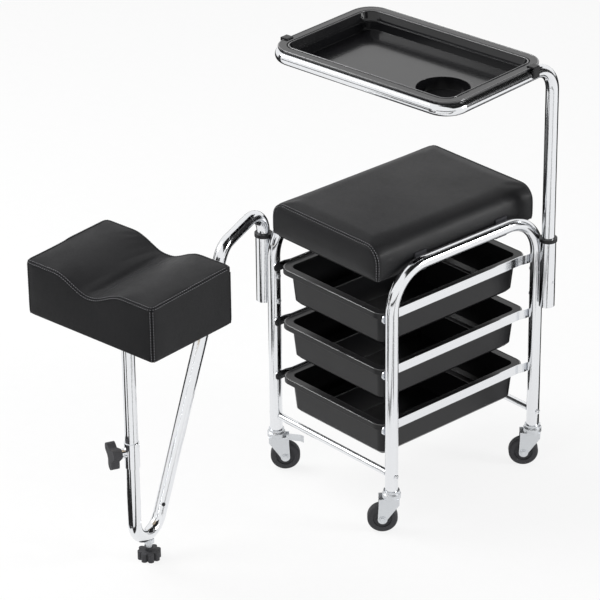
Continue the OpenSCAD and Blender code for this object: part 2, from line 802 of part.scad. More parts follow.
module caster_fork_front_right() { caster_fork(1, -1, heading_others, false); }
module caster_axle_front_right() { caster_axle(1, -1, heading_others); }
module caster_wheel_front_right() { caster_wheel(1, -1, heading_others); }
module caster_fork_front_left() { caster_fork(-1, -1, heading_front_left, true); }
module caster_axle_front_left() { caster_axle(-1, -1, heading_front_left); }
module caster_wheel_front_left() { caster_wheel(-1, -1, heading_front_left); }
module caster_fork_rear_right() { caster_fork(1, 1, heading_others, false); }
module caster_axle_rear_right() { caster_axle(1, 1, heading_others); }
module caster_wheel_rear_right() { caster_wheel(1, 1, heading_others); }
module caster_fork_rear_left() { caster_fork(-1, 1, heading_others, true); }
module caster_axle_rear_left() { caster_axle(-1, 1, heading_others); }
module caster_wheel_rear_left() { caster_wheel(-1, 1, heading_others); }
module brake_lever_front_left() { brake_lever(-1, -1, heading_front_left); }
module brake_lever_rear_left() { brake_lever(-1, 1, heading_others); }

// Tray and its arm, drawn from the middle of the tray with the arm's own post at the back right
module tray_frame() {
  placed() translate([tray_mid[0], tray_mid[1], 0]) rotate([0, 0, tray_swing]) children();
}

module tray_path(r, extra) {
  rise = ring_height - post_bend - arm_foot;
  translate([ring_x, post_back, arm_foot - extra]) rotate([0, 0, -90])
    straight(rise + extra, r) bend(post_bend, 90, r) straight(right_run, r)
    rotate([0, 0, -90]) bend(ring_bend, 90, r) straight(front_run, r)
    bend(ring_bend, 90, r) straight(left_run + extra, r);
}

module tray_arm() {
  color(chrome) tray_frame() difference() {
    tray_path(tube_r, 0);
    tray_path(bore_r, over);
  }
}

module tray_arm_plug() {
  color(black) tray_frame()
    translate([-ring_x, -ring_y + ring_bend + left_run, ring_height]) rotate([-90, 0, 0]) {
      translate([0, 0, bush_gap]) cylinder(h = plug_h * 0.5, r = tube_r);
      translate([0, 0, plug_h * 0.5]) cylinder(h = plug_h * 0.5, r1 = tube_r, r2 = tube_r * 0.75);
      translate([0, 0, -plug_depth]) cylinder(h = plug_depth + plug_h / 2, r = bore_r - bush_gap);
    }
}

// Clips over the tray rim, whose feet steady the tray against the ring tube
module tray_clips() {
  foot = tube_r + seat_gap + run_gap;
  outer = foot + clip_wall;
  lid = rim_top + bush_gap - ring_height;
  color(black) tray_frame() for (s = [[1, post_back - post_bend - clip_width],
      [-1, -ring_y + ring_bend + clip_width / 2]])
    translate([s[0] * ring_x, s[1], ring_height]) scale([s[0], 1, 1]) rotate([90, 0, 0])
      linear_extrude(height = clip_width, center = true) polygon([
        [-clip_wall, lid], [-clip_wall, lid + clip_wall / 2], [0, lid + clip_wall],
        [outer - clip_wall / 2, lid + clip_wall], [outer, lid + clip_wall / 2],
        [outer, -clip_wall], [foot, -clip_wall], [foot, lid]]);
}

// A slab of the tray's tub between two heights, drawn in by the two insets
module tray_slab(low, low_inset, high, high_inset) {
  hull() {
    translate([0, 0, high - sliver])
      corner_discs(tray_in_x - high_inset, tray_in_y - high_inset, tub_round - min(high_inset, 0));
    translate([0, 0, low])
      corner_discs(tray_in_x - low_inset, tray_in_y - low_inset, tub_round);
  }
}

// The tub from its floor over a ledge half way up to the flare under the rim
module tray_tub(inset, floor_up, extra) {
  ledge = (tray_floor + rim_base) / 2;
  flare_base = rim_base - flare_depth;
  tray_slab(tray_floor + floor_up, inset + tray_step + tray_draft, ledge + floor_up,
    inset + tray_step);
  tray_slab(ledge + floor_up - sliver, inset + tray_draft / 2, flare_base, inset);
  tray_slab(flare_base - sliver, inset, rim_base + extra, inset - flare * (1 + extra / flare_depth));
}

module tray() {
  color(black) tray_frame() difference() {
    union() {
      tray_tub(0, 0, 0);
      translate([0, 0, rim_base - sliver / 2]) linear_extrude(height = rim_top - rim_base + sliver / 2)
        round_rect(tray_half_x, tray_half_y, tray_corner);
    }
    difference() {
      tray_tub(skin, skin, rim_top - rim_base + over);
      translate([cup_x, cup_y, tray_floor])
        cylinder(h = rim_top - cup_drop - tray_floor, r1 = cup_r + cup_land + cup_flare,
          r2 = cup_r + cup_land);
    }
    translate([cup_x, cup_y, tray_floor + skin]) cylinder(h = tray_depth * 2, r = cup_r);
  }
}

// Foot arm, drawn from the floor under its socket with the arm along -Y
module arm_frame() {
  placed() translate([foot_axis[0], foot_axis[1], 0]) rotate([0, 0, arm_swing - 90]) children();
}

module arm_path(r, extra) {
  translate([0, 0, arm_foot - extra])
    straight(hook_height - arm_foot + extra, r, 0, lap) bend(arm_bend, arm_hook_angle, r + swell)
    straight(bridge, r, lap, lap) bend(arm_bend, arm_drop_angle, r + swell)
    straight(drop, r, lap, lap)
    rotate([0, 0, 180]) bend(foot_bend, slope + 90, r + swell)
    straight(leg_top - leg_start + extra, r, lap, 0);
}

// A spot on the slanted tube, with +Z straight out of its side
module arm_plug_seat() {
  arm_frame()
    translate([foot_reach - foot_bend * sin(slope), 0, leg_start - foot_bend * cos(slope)])
    rotate([0, 90 + slope, 0]) translate([0, 0, -arm_plug_up])
    rotate([0, 0, arm_plug_turn]) rotate([0, 90, 0]) children();
}

module foot_arm() {
  color(chrome) difference() {
    arm_frame() arm_path(tube_r, 0);
    arm_frame() arm_path(bore_r, over);
    arm_plug_seat() cylinder(h = tube_r + over, r = arm_plug_r + bush_gap);
    arm_frame() translate([foot_reach, 0, 0])
      cylinder(h = foot_rise, r = stud_d / 2 + screw_gap);
  }
}

module arm_plug() {
  color(black) arm_plug_seat() {
    translate([0, 0, bore_r - arm_plug_r / 2])
      cylinder(h = tube_r - bore_r + arm_plug_r / 2 + bush_gap, r = arm_plug_r);
    translate([0, 0, tube_r + bush_gap])
      cylinder(h = arm_plug_r * 0.4, r1 = arm_plug_r * 1.3, r2 = arm_plug_r);
  }
}

module slide_tube() {
  color(zinc) arm_frame() translate([arm_reach, 0, leg_top + slide_rise - slide_length])
    difference() {
      cylinder(h = slide_length, r = slide_r);
      translate([0, 0, -over]) cylinder(h = slide_length + 2 * over, r = slide_r - tube_wall);
    }
}

module leveller_nut() {
  color(zinc) arm_frame() difference() {
    translate([foot_reach, 0, foot_rise - tube_r - nut_h * 0.8]) cylinder(h = nut_h, r = nut_r, $fn = 6);
    arm_path(tube_r + 2 * bush_gap, 0);
    cut_r = stud_d / 2 + run_gap;
    translate([foot_reach, 0, 0]) cylinder(h = foot_rise, r = cut_r);
  }
}

module levelling_foot() {
  color(black) arm_frame() translate([foot_reach, 0, 0]) difference() {
    union() {
      linear_extrude(height = foot_thick) {
        circle(r = foot_d / 2 - foot_lobe_r);
        for (n = [0 : foot_lobes - 1]) rotate([0, 0, n * 360 / foot_lobes])
          translate([foot_d / 2 - foot_lobe_r, 0]) circle(r = foot_lobe_r);
      }
      cylinder(h = foot_thick + foot_hub_h, r = foot_hub_r);
    }
    translate([0, 0, foot_thick / 2]) cylinder(h = foot_thick + foot_hub_h, r = stud_d / 2 + bush_gap);
  }
}

module levelling_stud() {
  color(zinc) arm_frame() translate([foot_reach, 0, foot_thick / 2 + seat_gap])
    cylinder(h = stud_top - foot_thick / 2, r = stud_d / 2);
}

// Pad post, clamp and pad
module pad_frame() {
  arm_frame() translate([arm_reach, 0, 0]) children();
}

module pad_post() {
  base = leg_top + seat_gap;
  color(chrome) pad_frame() difference() {
    translate([0, 0, base]) cylinder(h = post_top - base, r = tube_r);
    translate([0, 0, base - over]) cylinder(h = post_top - base + 2 * over, r = bore_r);
    translate([0, 0, clamp_height]) rotate([0, 0, clamp_turn]) rotate([0, 90, 0])
      cylinder(h = tube_d, r = clamp_screw_r + screw_gap);
  }
}

module pad_collar() {
  color(chrome) pad_frame() difference() {
    union() {
      translate([0, 0, collar_base]) cylinder(h = collar_length, r = collar_r);
      translate([0, 0, clamp_height]) rotate([0, 0, clamp_turn]) rotate([0, 90, 0])
        cylinder(h = clamp_boss_out, r = clamp_boss_r);
    }
    translate([0, 0, collar_base - over])
      cylinder(h = collar_length + 2 * over, r = tube_r + run_gap);
    translate([0, 0, clamp_height]) rotate([0, 0, clamp_turn]) rotate([0, 90, 0])
      cylinder(h = 2 * clamp_boss_out, r = clamp_screw_r + run_gap);
  }
}

module clamp_screw() {
  start = slide_r + 2 * seat_gap;
  color(zinc) pad_frame() translate([0, 0, clamp_height]) rotate([0, 0, clamp_turn])
    rotate([0, 90, 0]) translate([0, 0, start])
      cylinder(h = knob_out + knob_thick / 2 - start, r = clamp_screw_r);
}

module clamp_knob() {
  color(black) pad_frame() translate([0, 0, clamp_height]) rotate([0, 0, clamp_turn])
    rotate([0, 90, 0]) difference() {
      union() {
        translate([0, 0, knob_out - knob_neck])
          cylinder(h = knob_neck, r1 = knob_hub_r * 0.75, r2 = knob_hub_r);
        translate([0, 0, knob_out]) {
          cylinder(h = knob_thick, r = knob_hub_r);
          for (n = [0 : lobes - 1]) rotate([0, 0, n * 360 / lobes]) {
            translate([knob_d / 2 - knob_lobe_r, 0, 0]) cylinder(h = knob_thick, r = knob_lobe_r);
            translate([0, -knob_lobe_r, 0])
              cube([knob_d / 2 - knob_lobe_r, 2 * knob_lobe_r, knob_thick]);
          }
        }
      }
      translate([0, 0, knob_out - knob_neck - over])
        cylinder(h = knob_neck + over + knob_thick / 2, r = clamp_screw_r + bush_gap);
    }
}

module pad_plate() {
  color(dark_steel) pad_frame() rotate([0, 0, pad_turn]) translate([0, 0, post_top + bush_gap])
    difference() {
      linear_extrude(height = plate_thick - bush_gap) round_rect(plate_y / 2, plate_x / 2, screw_d);
      for (i = [-1, 1], j = [-1, 1])
        translate([i * (plate_y / 2 - 2 * screw_d), j * (plate_x / 2 - 2 * screw_d), -over])
          cylinder(h = plate_thick + 2 * over, r = screw_r + screw_gap);
    }
}

module pad_screws() {
  color(zinc) pad_frame() rotate([0, 0, pad_turn]) for (i = [-1, 1], j = [-1, 1])
    translate([i * (plate_y / 2 - 2 * screw_d), j * (plate_x / 2 - 2 * screw_d), post_top])
      rotate([180, 0, 0]) button_screw(plate_thick + pad_board_thick * 0.7, screw_r);
}

module pad_board() {
  color(timber) pad_frame() rotate([0, 0, pad_turn]) translate([0, 0, pad_base]) difference() {
    linear_extrude(height = pad_board_thick) translate([-pad_back, -pad_left])
      round_rect(pad_half_y - pad_inset, pad_half_x - pad_inset, pad_corner);
    for (i = [-1, 1], j = [-1, 1])
      translate([i * (plate_y / 2 - 2 * screw_d), j * (plate_x / 2 - 2 * screw_d), -over])
        cylinder(h = pad_board_thick * 0.8 + over, r = screw_r + run_gap);
  }
}

// The foot pad: a plain soft block with a smooth channel across it for the leg
module pad_cushion() {
  steps = 22;
  color(hide) pad_frame() rotate([0, 0, pad_turn]) translate([-pad_back, -pad_left, 0]) difference() {
    intersection() {
      translate([0, 0, pad_base]) hull() {
        corner_discs(pad_half_y - pad_round / 2, pad_half_x - pad_round / 2, pad_corner);
        translate([0, 0, pad_thick * 0.2])
          corner_discs(pad_half_y, pad_half_x, pad_corner, pad_thick * 0.8 - 1.5 * pad_round);
        translate([0, 0, pad_thick - 0.4 * pad_round])
          corner_discs(pad_half_y - pad_round * 0.4, pad_half_x - pad_round * 0.4, pad_corner);
        translate([0, 0, pad_thick - sliver])
          corner_discs(pad_half_y - pad_round * 1.5, pad_half_x - pad_round * 1.5, pad_corner);
      }
      rotate([90, 0, 90]) translate([0, 0, -pad_width]) linear_extrude(height = 2 * pad_width)
        polygon(concat(
          [[pad_length, pad_base - over], [-pad_length, pad_base - over], [-pad_length, pad_top + over],
            [-dip_width / 2, pad_top + over]],
          [for (n = [0 : steps]) let (t = n / steps)
            [dip_width * (t - 0.5), pad_top + over - (pad_dip + over) * (1 - cos(360 * t)) / 2]],
          [[dip_width / 2, pad_top + over], [pad_length, pad_top + over]]));
    }
    translate([0, 0, pad_base - over]) linear_extrude(height = pad_board_thick + seat_gap + over)
      round_rect(pad_half_y - pad_inset + seat_gap, pad_half_x - pad_inset + seat_gap,
        pad_corner);
  }
}

side_frame_right();
side_frame_left();
crossbar_front();
crossbar_rear();
crossbar_screws();
rail_right_top();
rail_right_middle();
rail_right_bottom();
rail_left_top();
rail_left_middle();
rail_left_bottom();
seat_straps();
seat_strap_screws();
seat_board();
seat_board_screws();
seat_cushion();
foot_socket();
foot_socket_bush();
foot_socket_bolts();
tray_socket();
tray_socket_bush();
tray_socket_bolts();
caster_stems();
drawer_top();
drawer_middle();
drawer_bottom();
caster_fork_front_right();
caster_axle_front_right();
caster_wheel_front_right();
caster_fork_front_left();
caster_axle_front_left();
caster_wheel_front_left();
caster_fork_rear_right();
caster_axle_rear_right();
caster_wheel_rear_right();
caster_fork_rear_left();
caster_axle_rear_left();
caster_wheel_rear_left();
brake_lever_front_left();
brake_lever_rear_left();
tray_arm();
tray_arm_plug();
tray_clips();
tray();
foot_arm();
arm_plug();
slide_tube();
leveller_nut();
levelling_foot();
levelling_stud();
pad_post();
pad_collar();
pad_plate();
pad_board();
pad_screws();
pad_cushion();
clamp_knob();
clamp_screw();
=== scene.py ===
"""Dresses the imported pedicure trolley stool, and sets its studio and its camera.

Metres, +Z up, +X to the right of a person on the seat, -Y to the front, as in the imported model.
"""

import logging
import math
from dataclasses import dataclass
from enum import Enum
from typing import Any

import bmesh
import bpy
from mathutils import Matrix, Vector
from mathutils.bvhtree import BVHTree
from mathutils.kdtree import KDTree


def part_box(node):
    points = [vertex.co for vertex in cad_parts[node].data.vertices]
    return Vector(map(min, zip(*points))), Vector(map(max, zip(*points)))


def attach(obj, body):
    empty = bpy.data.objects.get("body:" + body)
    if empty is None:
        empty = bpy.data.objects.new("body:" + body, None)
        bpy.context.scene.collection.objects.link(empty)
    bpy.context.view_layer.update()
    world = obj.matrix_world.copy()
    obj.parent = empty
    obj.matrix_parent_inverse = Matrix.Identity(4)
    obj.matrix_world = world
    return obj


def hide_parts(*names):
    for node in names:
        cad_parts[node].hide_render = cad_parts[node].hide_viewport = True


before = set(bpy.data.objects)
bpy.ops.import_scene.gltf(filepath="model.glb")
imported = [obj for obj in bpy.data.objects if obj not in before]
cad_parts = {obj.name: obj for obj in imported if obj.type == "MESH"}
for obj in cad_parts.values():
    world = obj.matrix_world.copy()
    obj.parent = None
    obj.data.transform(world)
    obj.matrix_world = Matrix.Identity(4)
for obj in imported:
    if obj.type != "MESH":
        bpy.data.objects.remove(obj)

log = logging.getLogger("stool")

MM = 0.001
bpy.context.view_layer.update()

Colour = tuple[float, float, float, float]
Range = tuple[float, float]
Point = tuple[float, float, float]
Outputs = dict[str, bpy.types.NodeSocket]

WHITE: Colour = (1.0, 1.0, 1.0, 1.0)
UP = Vector((0.0, 0.0, 1.0))
DOWN = -UP
QUARTERS = ((1, 1), (-1, 1), (-1, -1), (1, -1))
SHARP_ANGLE = 0.6


# Shader nodes


class Graph:
    """Short calls for adding and joining the nodes of one tree."""

    def __init__(self, tree: bpy.types.NodeTree) -> None:
        """Starts the tree empty."""
        self.tree = tree
        tree.nodes.clear()

    def feed(self, socket: bpy.types.NodeSocket, value: Any) -> None:
        """Links a socket into an input, or sets the input to a plain value."""
        if isinstance(value, bpy.types.NodeSocket):
            self.tree.links.new(value, socket)
        else:
            socket.default_value = value

    def add(
        self, kind: str, inputs: dict[Any, Any] | None = None, **settings: Any
    ) -> bpy.types.Node:
        """Adds a node.

        Args:
            kind: Blender's name of the node type.
            inputs: Sockets or plain values for its inputs, by name or number.
            **settings: Attributes of the node.

        Returns:
            The new node.
        """
        node = self.tree.nodes.new(kind)
        for name, value in settings.items():
            setattr(node, name, value)
        for name, value in (inputs or {}).items():
            self.feed(node.inputs[name], value)
        return node

    def math(self, operation: str, *values: Any) -> bpy.types.NodeSocket:
        """Adds a math node and returns its output."""
        return self.add("ShaderNodeMath", dict(enumerate(values)), operation=operation).outputs[0]

    def blend(self, first: Any, second: Any, share: float) -> bpy.types.NodeSocket:
        """Adds two values up to one whole, of which the second has a share."""
        kept = self.math("MULTIPLY", first, 1.0 - share)
        return self.math("ADD", kept, self.math("MULTIPLY", second, share))

    def ranged(self, value: Any, old: Range, new: tuple[Any, Any]) -> bpy.types.NodeSocket:
        """Maps a value from one range to another, clamped, and returns the output."""
        inputs = {"Value": value, "From Min": old[0], "From Max": old[1]}
        inputs |= {"To Min": new[0], "To Max": new[1]}
        return self.add("ShaderNodeMapRange", inputs, clamp=True).outputs["Result"]

    def mixed(self, factor: Any, first: Any, second: Any) -> bpy.types.NodeSocket:
        """Mixes two colours and returns the output."""
        node = self.add("ShaderNodeMix", data_type="RGBA")
        for place, value in ((0, factor), (6, first), (7, second)):
            self.feed(node.inputs[place], value)
        return node.outputs[2]

    def noise(
        self, vector: Any, scale: Any, detail: float = 3.0, rough: float = 0.5
    ) -> bpy.types.NodeSocket:
        """Adds a noise texture and returns its grey value."""
        inputs = {"Vector": vector, "Scale": scale, "Detail": detail, "Roughness": rough}
        return self.add("ShaderNodeTexNoise", inputs).outputs[0]

    def place(self, scale: Point = (1, 1, 1)) -> bpy.types.NodeSocket:
        """Returns the object's own coordinates, stretched by a scale for each axis."""
        coordinates = self.add("ShaderNodeTexCoord").outputs["Object"]
        return self.add("ShaderNodeMapping", {"Vector": coordinates, "Scale": scale}).outputs[0]


class Socket(Enum):
    """The kinds of socket on an effect."""

    VALUE = "NodeSocketFloat"
    VECTOR = "NodeSocketVector"


class Effect:
    """A node group that several finishes share, built once."""

    title = ""
    takes: dict[str, Socket] = {}
    gives: tuple[str, ...] = ("Value",)

    def build(self, graph: Graph, given: Any) -> Outputs:
        """Builds the inside of the group and returns its outputs by name."""
        raise NotImplementedError

    def tree(self) -> bpy.types.NodeTree:
        """Returns the group, making it on the first call."""
        known = bpy.data.node_groups.get(self.title)
        if known:
            return known
        tree = bpy.data.node_groups.new(self.title, "ShaderNodeTree")
        for name, kind in self.takes.items():
            tree.interface.new_socket(name, in_out="INPUT", socket_type=kind.value)
        for name in self.gives:
            tree.interface.new_socket(name, in_out="OUTPUT", socket_type=Socket.VALUE.value)
        graph = Graph(tree)
        given = graph.add("NodeGroupInput").outputs
        graph.add("NodeGroupOutput", self.build(graph, given))
        return tree

    def place_in(self, graph: Graph, **inputs: Any) -> Any:
        """Puts the effect into a material.

        Args:
            graph: The material's graph.
            **inputs: Sockets or values, by input name in lower case.

        Returns:
            The node's outputs.
        """
        node = graph.add("ShaderNodeGroup")
        node.node_tree = self.tree()
        for name, value in inputs.items():
            graph.feed(node.inputs[name.capitalize()], value)
        return node.outputs


class Smudges(Effect):
    """Uneven patches from handling, as a value between two bounds."""

    title = "smudges"
    takes = {
        "Vector": Socket.VECTOR, "Scale": Socket.VALUE, "Low": Socket.VALUE, "High": Socket.VALUE
    }

    def build(self, graph: Graph, given: Any) -> Outputs:
        """Mixes broad and fine noise."""
        broad = graph.noise(given["Vector"], given["Scale"], detail=4.0, rough=0.62)
        finer = graph.math("MULTIPLY", given["Scale"], 7.0)
        fine = graph.noise(given["Vector"], finer, detail=2.0)
        both = graph.blend(broad, fine, share=0.25)
        return {"Value": graph.ranged(both, (0.34, 0.66), (given["Low"], given["High"]))}


class Scratches(Effect):
    """Fine hairlines, as a mask that is one on a line."""

    title = "hairlines"
    takes = {"Vector": Socket.VECTOR, "Scale": Socket.VALUE, "Amount": Socket.VALUE}

    def build(self, graph: Graph, given: Any) -> Outputs:
        """Keeps the thin level lines of a warped noise, broken up by a second one."""
        lines = graph.noise(given["Vector"], given["Scale"], detail=6.0, rough=0.7)
        level = graph.math("ABSOLUTE", graph.math("SUBTRACT", lines, 0.5))
        thin = graph.ranged(level, (0.0, 0.006), (1.0, 0.0))
        finer = graph.math("MULTIPLY", given["Scale"], 2.3)
        broken = graph.noise(given["Vector"], finer, detail=2.0)
        kept = graph.ranged(broken, (0.55, 0.65), (0.0, 1.0))
        lines_kept = graph.math("MULTIPLY", thin, kept)
        return {"Value": graph.math("MULTIPLY", lines_kept, given["Amount"])}


class LeatherGrain(Effect):
    """The pebbles of embossed leathercloth, with a height and a mask of the valleys, which carries
    painted shade in the creases.
    """

    title = "leather_grain"
    takes = {"Vector": Socket.VECTOR, "Scale": Socket.VALUE}
    gives = ("Height", "ValleyShade")

    def build(self, graph: Graph, given: Any) -> Outputs:
        """Warps the place, and sets cells with soft edges into fine creases."""
        warping = {"Vector": given["Vector"], "Scale": 160.0, "Detail": 2.0}
        warp = graph.add("ShaderNodeTexNoise", warping).outputs["Color"]
        furthest = 1.6 * MM
        shift = graph.add("ShaderNodeVectorMath", {0: warp, "Scale": furthest}, operation="SCALE")
        shifted = {0: given["Vector"], 1: shift.outputs[0]}
        place = graph.add("ShaderNodeVectorMath", shifted, operation="ADD")
        inputs = {"Vector": place.outputs[0], "Scale": given["Scale"], "Randomness": 0.9}
        cells = graph.add("ShaderNodeTexVoronoi", inputs, feature="DISTANCE_TO_EDGE")
        pebble = graph.ranged(cells.outputs["Distance"], (0.0, 0.22), (0.0, 1.0))
        finer = graph.math("MULTIPLY", given["Scale"], 2.6)
        fine = graph.noise(place.outputs[0], finer, detail=3.0)
        height = graph.blend(pebble, fine, share=0.3)
        return {"Height": height, "ValleyShade": graph.math("SUBTRACT", 1.0, pebble)}


class MouldedGrain(Effect):
    """The fine even texture of a spark-finished mould, as a height."""

    title = "moulded_grain"
    takes = {"Vector": Socket.VECTOR, "Scale": Socket.VALUE}
    gives = ("Height",)

    def build(self, graph: Graph, given: Any) -> Outputs:
        """Lays two noises over each other."""
        fine = graph.noise(given["Vector"], given["Scale"], detail=4.0, rough=0.6)
        broader = graph.math("MULTIPLY", given["Scale"], 0.12)
        broad = graph.noise(given["Vector"], broader, detail=2.0)
        return {"Height": graph.blend(fine, broad, share=0.2)}


class Dust(Effect):
    """Fine dust that settles on what faces up, as a mask."""

    title = "settled_dust"
    takes = {"Vector": Socket.VECTOR, "Scale": Socket.VALUE, "Amount": Socket.VALUE}

    def build(self, graph: Graph, given: Any) -> Outputs:
        """Breaks up the upward share of the surface by noise."""
        normal = graph.add("ShaderNodeNewGeometry").outputs["Normal"]
        up = graph.add("ShaderNodeSeparateXYZ", {0: normal}).outputs["Z"]
        facing = graph.ranged(up, (0.3, 1.0), (0.0, 1.0))
        patches = graph.noise(given["Vector"], given["Scale"], detail=5.0, rough=0.7)
        cover = graph.ranged(patches, (0.42, 0.75), (0.15, 1.0))
        lying = graph.math("MULTIPLY", facing, cover)
        return {"Value": graph.math("MULTIPLY", lying, given["Amount"])}


# Finishes


def new_material(title: str) -> tuple[bpy.types.Material, Graph]:
    """Makes an empty node material and returns it with its graph."""
    material = bpy.data.materials.new(title)
    material.use_nodes = True
    return material, Graph(material.node_tree)


def scaled(colour: Colour, by: float, more: float = 0.0) -> Colour:
    """Returns a colour times a number, with a bit more on top, up to white."""
    red, green, blue = (min(1.0, part * by + more) for part in colour[:3])
    return (red, green, blue, 1.0)


@dataclass(frozen=True)
class Finish:
    """What every finish has.

    Attributes:
        title: Name of the material.
        colour: Its base colour, linear.
        roughness: The lowest and highest roughness over the surface.
        wear: Radius in metres of the softened edges, where a finish has them.
    """

    title: str
    colour: Colour
    roughness: Range
    wear: float = 0.7 * MM

    def dress(self, graph: Graph, shader: bpy.types.Node) -> None:
        """Feeds the shader from the finish's own nodes."""
        raise NotImplementedError

    def material(self) -> bpy.types.Material:
        """Returns the material, making it on the first call."""
        known = bpy.data.materials.get(self.title)
        if known:
            return known
        material, graph = new_material(self.title)
        shader = graph.add("ShaderNodeBsdfPrincipled", {"Base Color": self.colour})
        self.dress(graph, shader)
        graph.add("ShaderNodeOutputMaterial", {"Surface": shader.outputs[0]})
        return material

    def smudged(self, graph: Graph, scale: float, bounds: Range) -> bpy.types.NodeSocket:
        """Returns a value that changes in patches between two bounds."""
        effect = Smudges().place_in(
            graph, vector=graph.place(), scale=scale, low=bounds[0], high=bounds[1]
        )
        return effect["Value"]

    def hairlined(self, graph: Graph, rough: Any, scale: float, amount: float) -> Any:
        """Returns a roughness with hairlines added to it."""
        lines = Scratches().place_in(graph, vector=graph.place(), scale=scale, amount=amount)
        return graph.math("ADD", rough, lines["Value"])

    def bumped(
        self, graph: Graph, shader: bpy.types.Node, height: Any, depth: float, strength: float
    ) -> None:
        """Gives the shader worn edges and a bump from a height.

        Args:
            graph: The material's graph.
            shader: The shader that takes the normal.
            height: The height, from 0 to 1.
            depth: Metres from its lowest to its highest.
            strength: How much of the bump is used.
        """
        worn = graph.add("ShaderNodeBevel", {"Radius": self.wear}, samples=4).outputs[0]
        inputs = {"Height": height, "Distance": depth, "Strength": strength, "Normal": worn}
        graph.feed(shader.inputs["Normal"], graph.add("ShaderNodeBump", inputs).outputs[0])


@dataclass(frozen=True)
class Plated(Finish):
    """Plated or bare metal.

    Attributes:
        ripple: Height in metres of the long waves in the metal under the plating.
        ripple_scale: Scale of those waves.
        wipe: Scale of the patches left by wiping.
        tarnish: Colour that the dullest patches lean to.
        dullest: How far they lean to it.
        hairlines: How much rougher a hairline is.
        hairline_scale: Scale of the hairlines.
        fleck: Scale of the fine spangle, or none.
        fleck_share: Share of the spangle in the relief.
    """

    ripple: float = 0.02 * MM
    ripple_scale: float = 26.0
    wipe: float = 22.0
    tarnish: Colour = (0.62, 0.61, 0.6, 1.0)
    dullest: float = 0.5
    hairlines: float = 0.10
    hairline_scale: float = 34.0
    fleck: float = 0.0
    fleck_share: float = 0.6

    def dress(self, graph: Graph, shader: bpy.types.Node) -> None:
        """Adds wiping marks, hairlines, long ripples and, on plain plating, spangle."""
        rough = self.smudged(graph, self.wipe, self.roughness)
        rough = self.hairlined(graph, rough, self.hairline_scale, self.hairlines)
        graph.feed(shader.inputs["Roughness"], rough)
        patch = self.smudged(graph, self.wipe * 0.6, (0.0, self.dullest))
        graph.feed(shader.inputs["Base Color"], graph.mixed(patch, self.colour, self.tarnish))
        graph.feed(shader.inputs["Metallic"], 1.0)
        drawn_out = graph.place((1.0, 1.0, 0.25))
        height = graph.noise(drawn_out, self.ripple_scale, detail=2.0)
        if self.fleck:
            spangle = graph.noise(graph.place(), self.fleck, detail=2.0)
            height = graph.blend(height, spangle, self.fleck_share)
        self.bumped(graph, shader, height, self.ripple, strength=1.0)


@dataclass(frozen=True)
class Moulded(Finish):
    """Moulded plastic.

    Attributes:
        grain: Scale of the mould texture.
        depth: Height in metres of the mould texture.
        dust: How much dust shows on top.
        dust_scale: Scale of the dust's patches.
        coat: Weight of the glossy skin of the moulding.
        coat_roughness: Roughness of that skin.
        sheen: How strongly the surface shines back.
        handling: Scale of the patches left by handling.
        hairlines: How much rougher a hairline is.
        hairline_scale: Scale of the hairlines.
    """

    grain: float = 1400.0
    depth: float = 0.015 * MM
    dust: float = 0.05
    dust_scale: float = 60.0
    coat: float = 0.0
    coat_roughness: float = 0.08
    sheen: float = 0.32
    handling: float = 14.0
    hairlines: float = 0.06
    hairline_scale: float = 20.0

    def dress(self, graph: Graph, shader: bpy.types.Node) -> None:
        """Adds mould texture, handling marks, hairlines and settled dust."""
        place = graph.place()
        rough = self.smudged(graph, self.handling, self.roughness)
        rough = self.hairlined(graph, rough, self.hairline_scale, self.hairlines)
        graph.feed(shader.inputs["Roughness"], rough)
        dust = Dust().place_in(graph, vector=place, scale=self.dust_scale, amount=self.dust)
        pale = scaled(self.colour, 2.2, more=0.09)
        graph.feed(shader.inputs["Base Color"], graph.mixed(dust["Value"], self.colour, pale))
        graph.feed(shader.inputs["Specular IOR Level"], self.sheen)
        graph.feed(shader.inputs["Coat Weight"], self.coat)
        graph.feed(shader.inputs["Coat Roughness"], self.coat_roughness)
        height = MouldedGrain().place_in(graph, vector=place, scale=self.grain)["Height"]
        self.bumped(graph, shader, height, self.depth, strength=0.8)


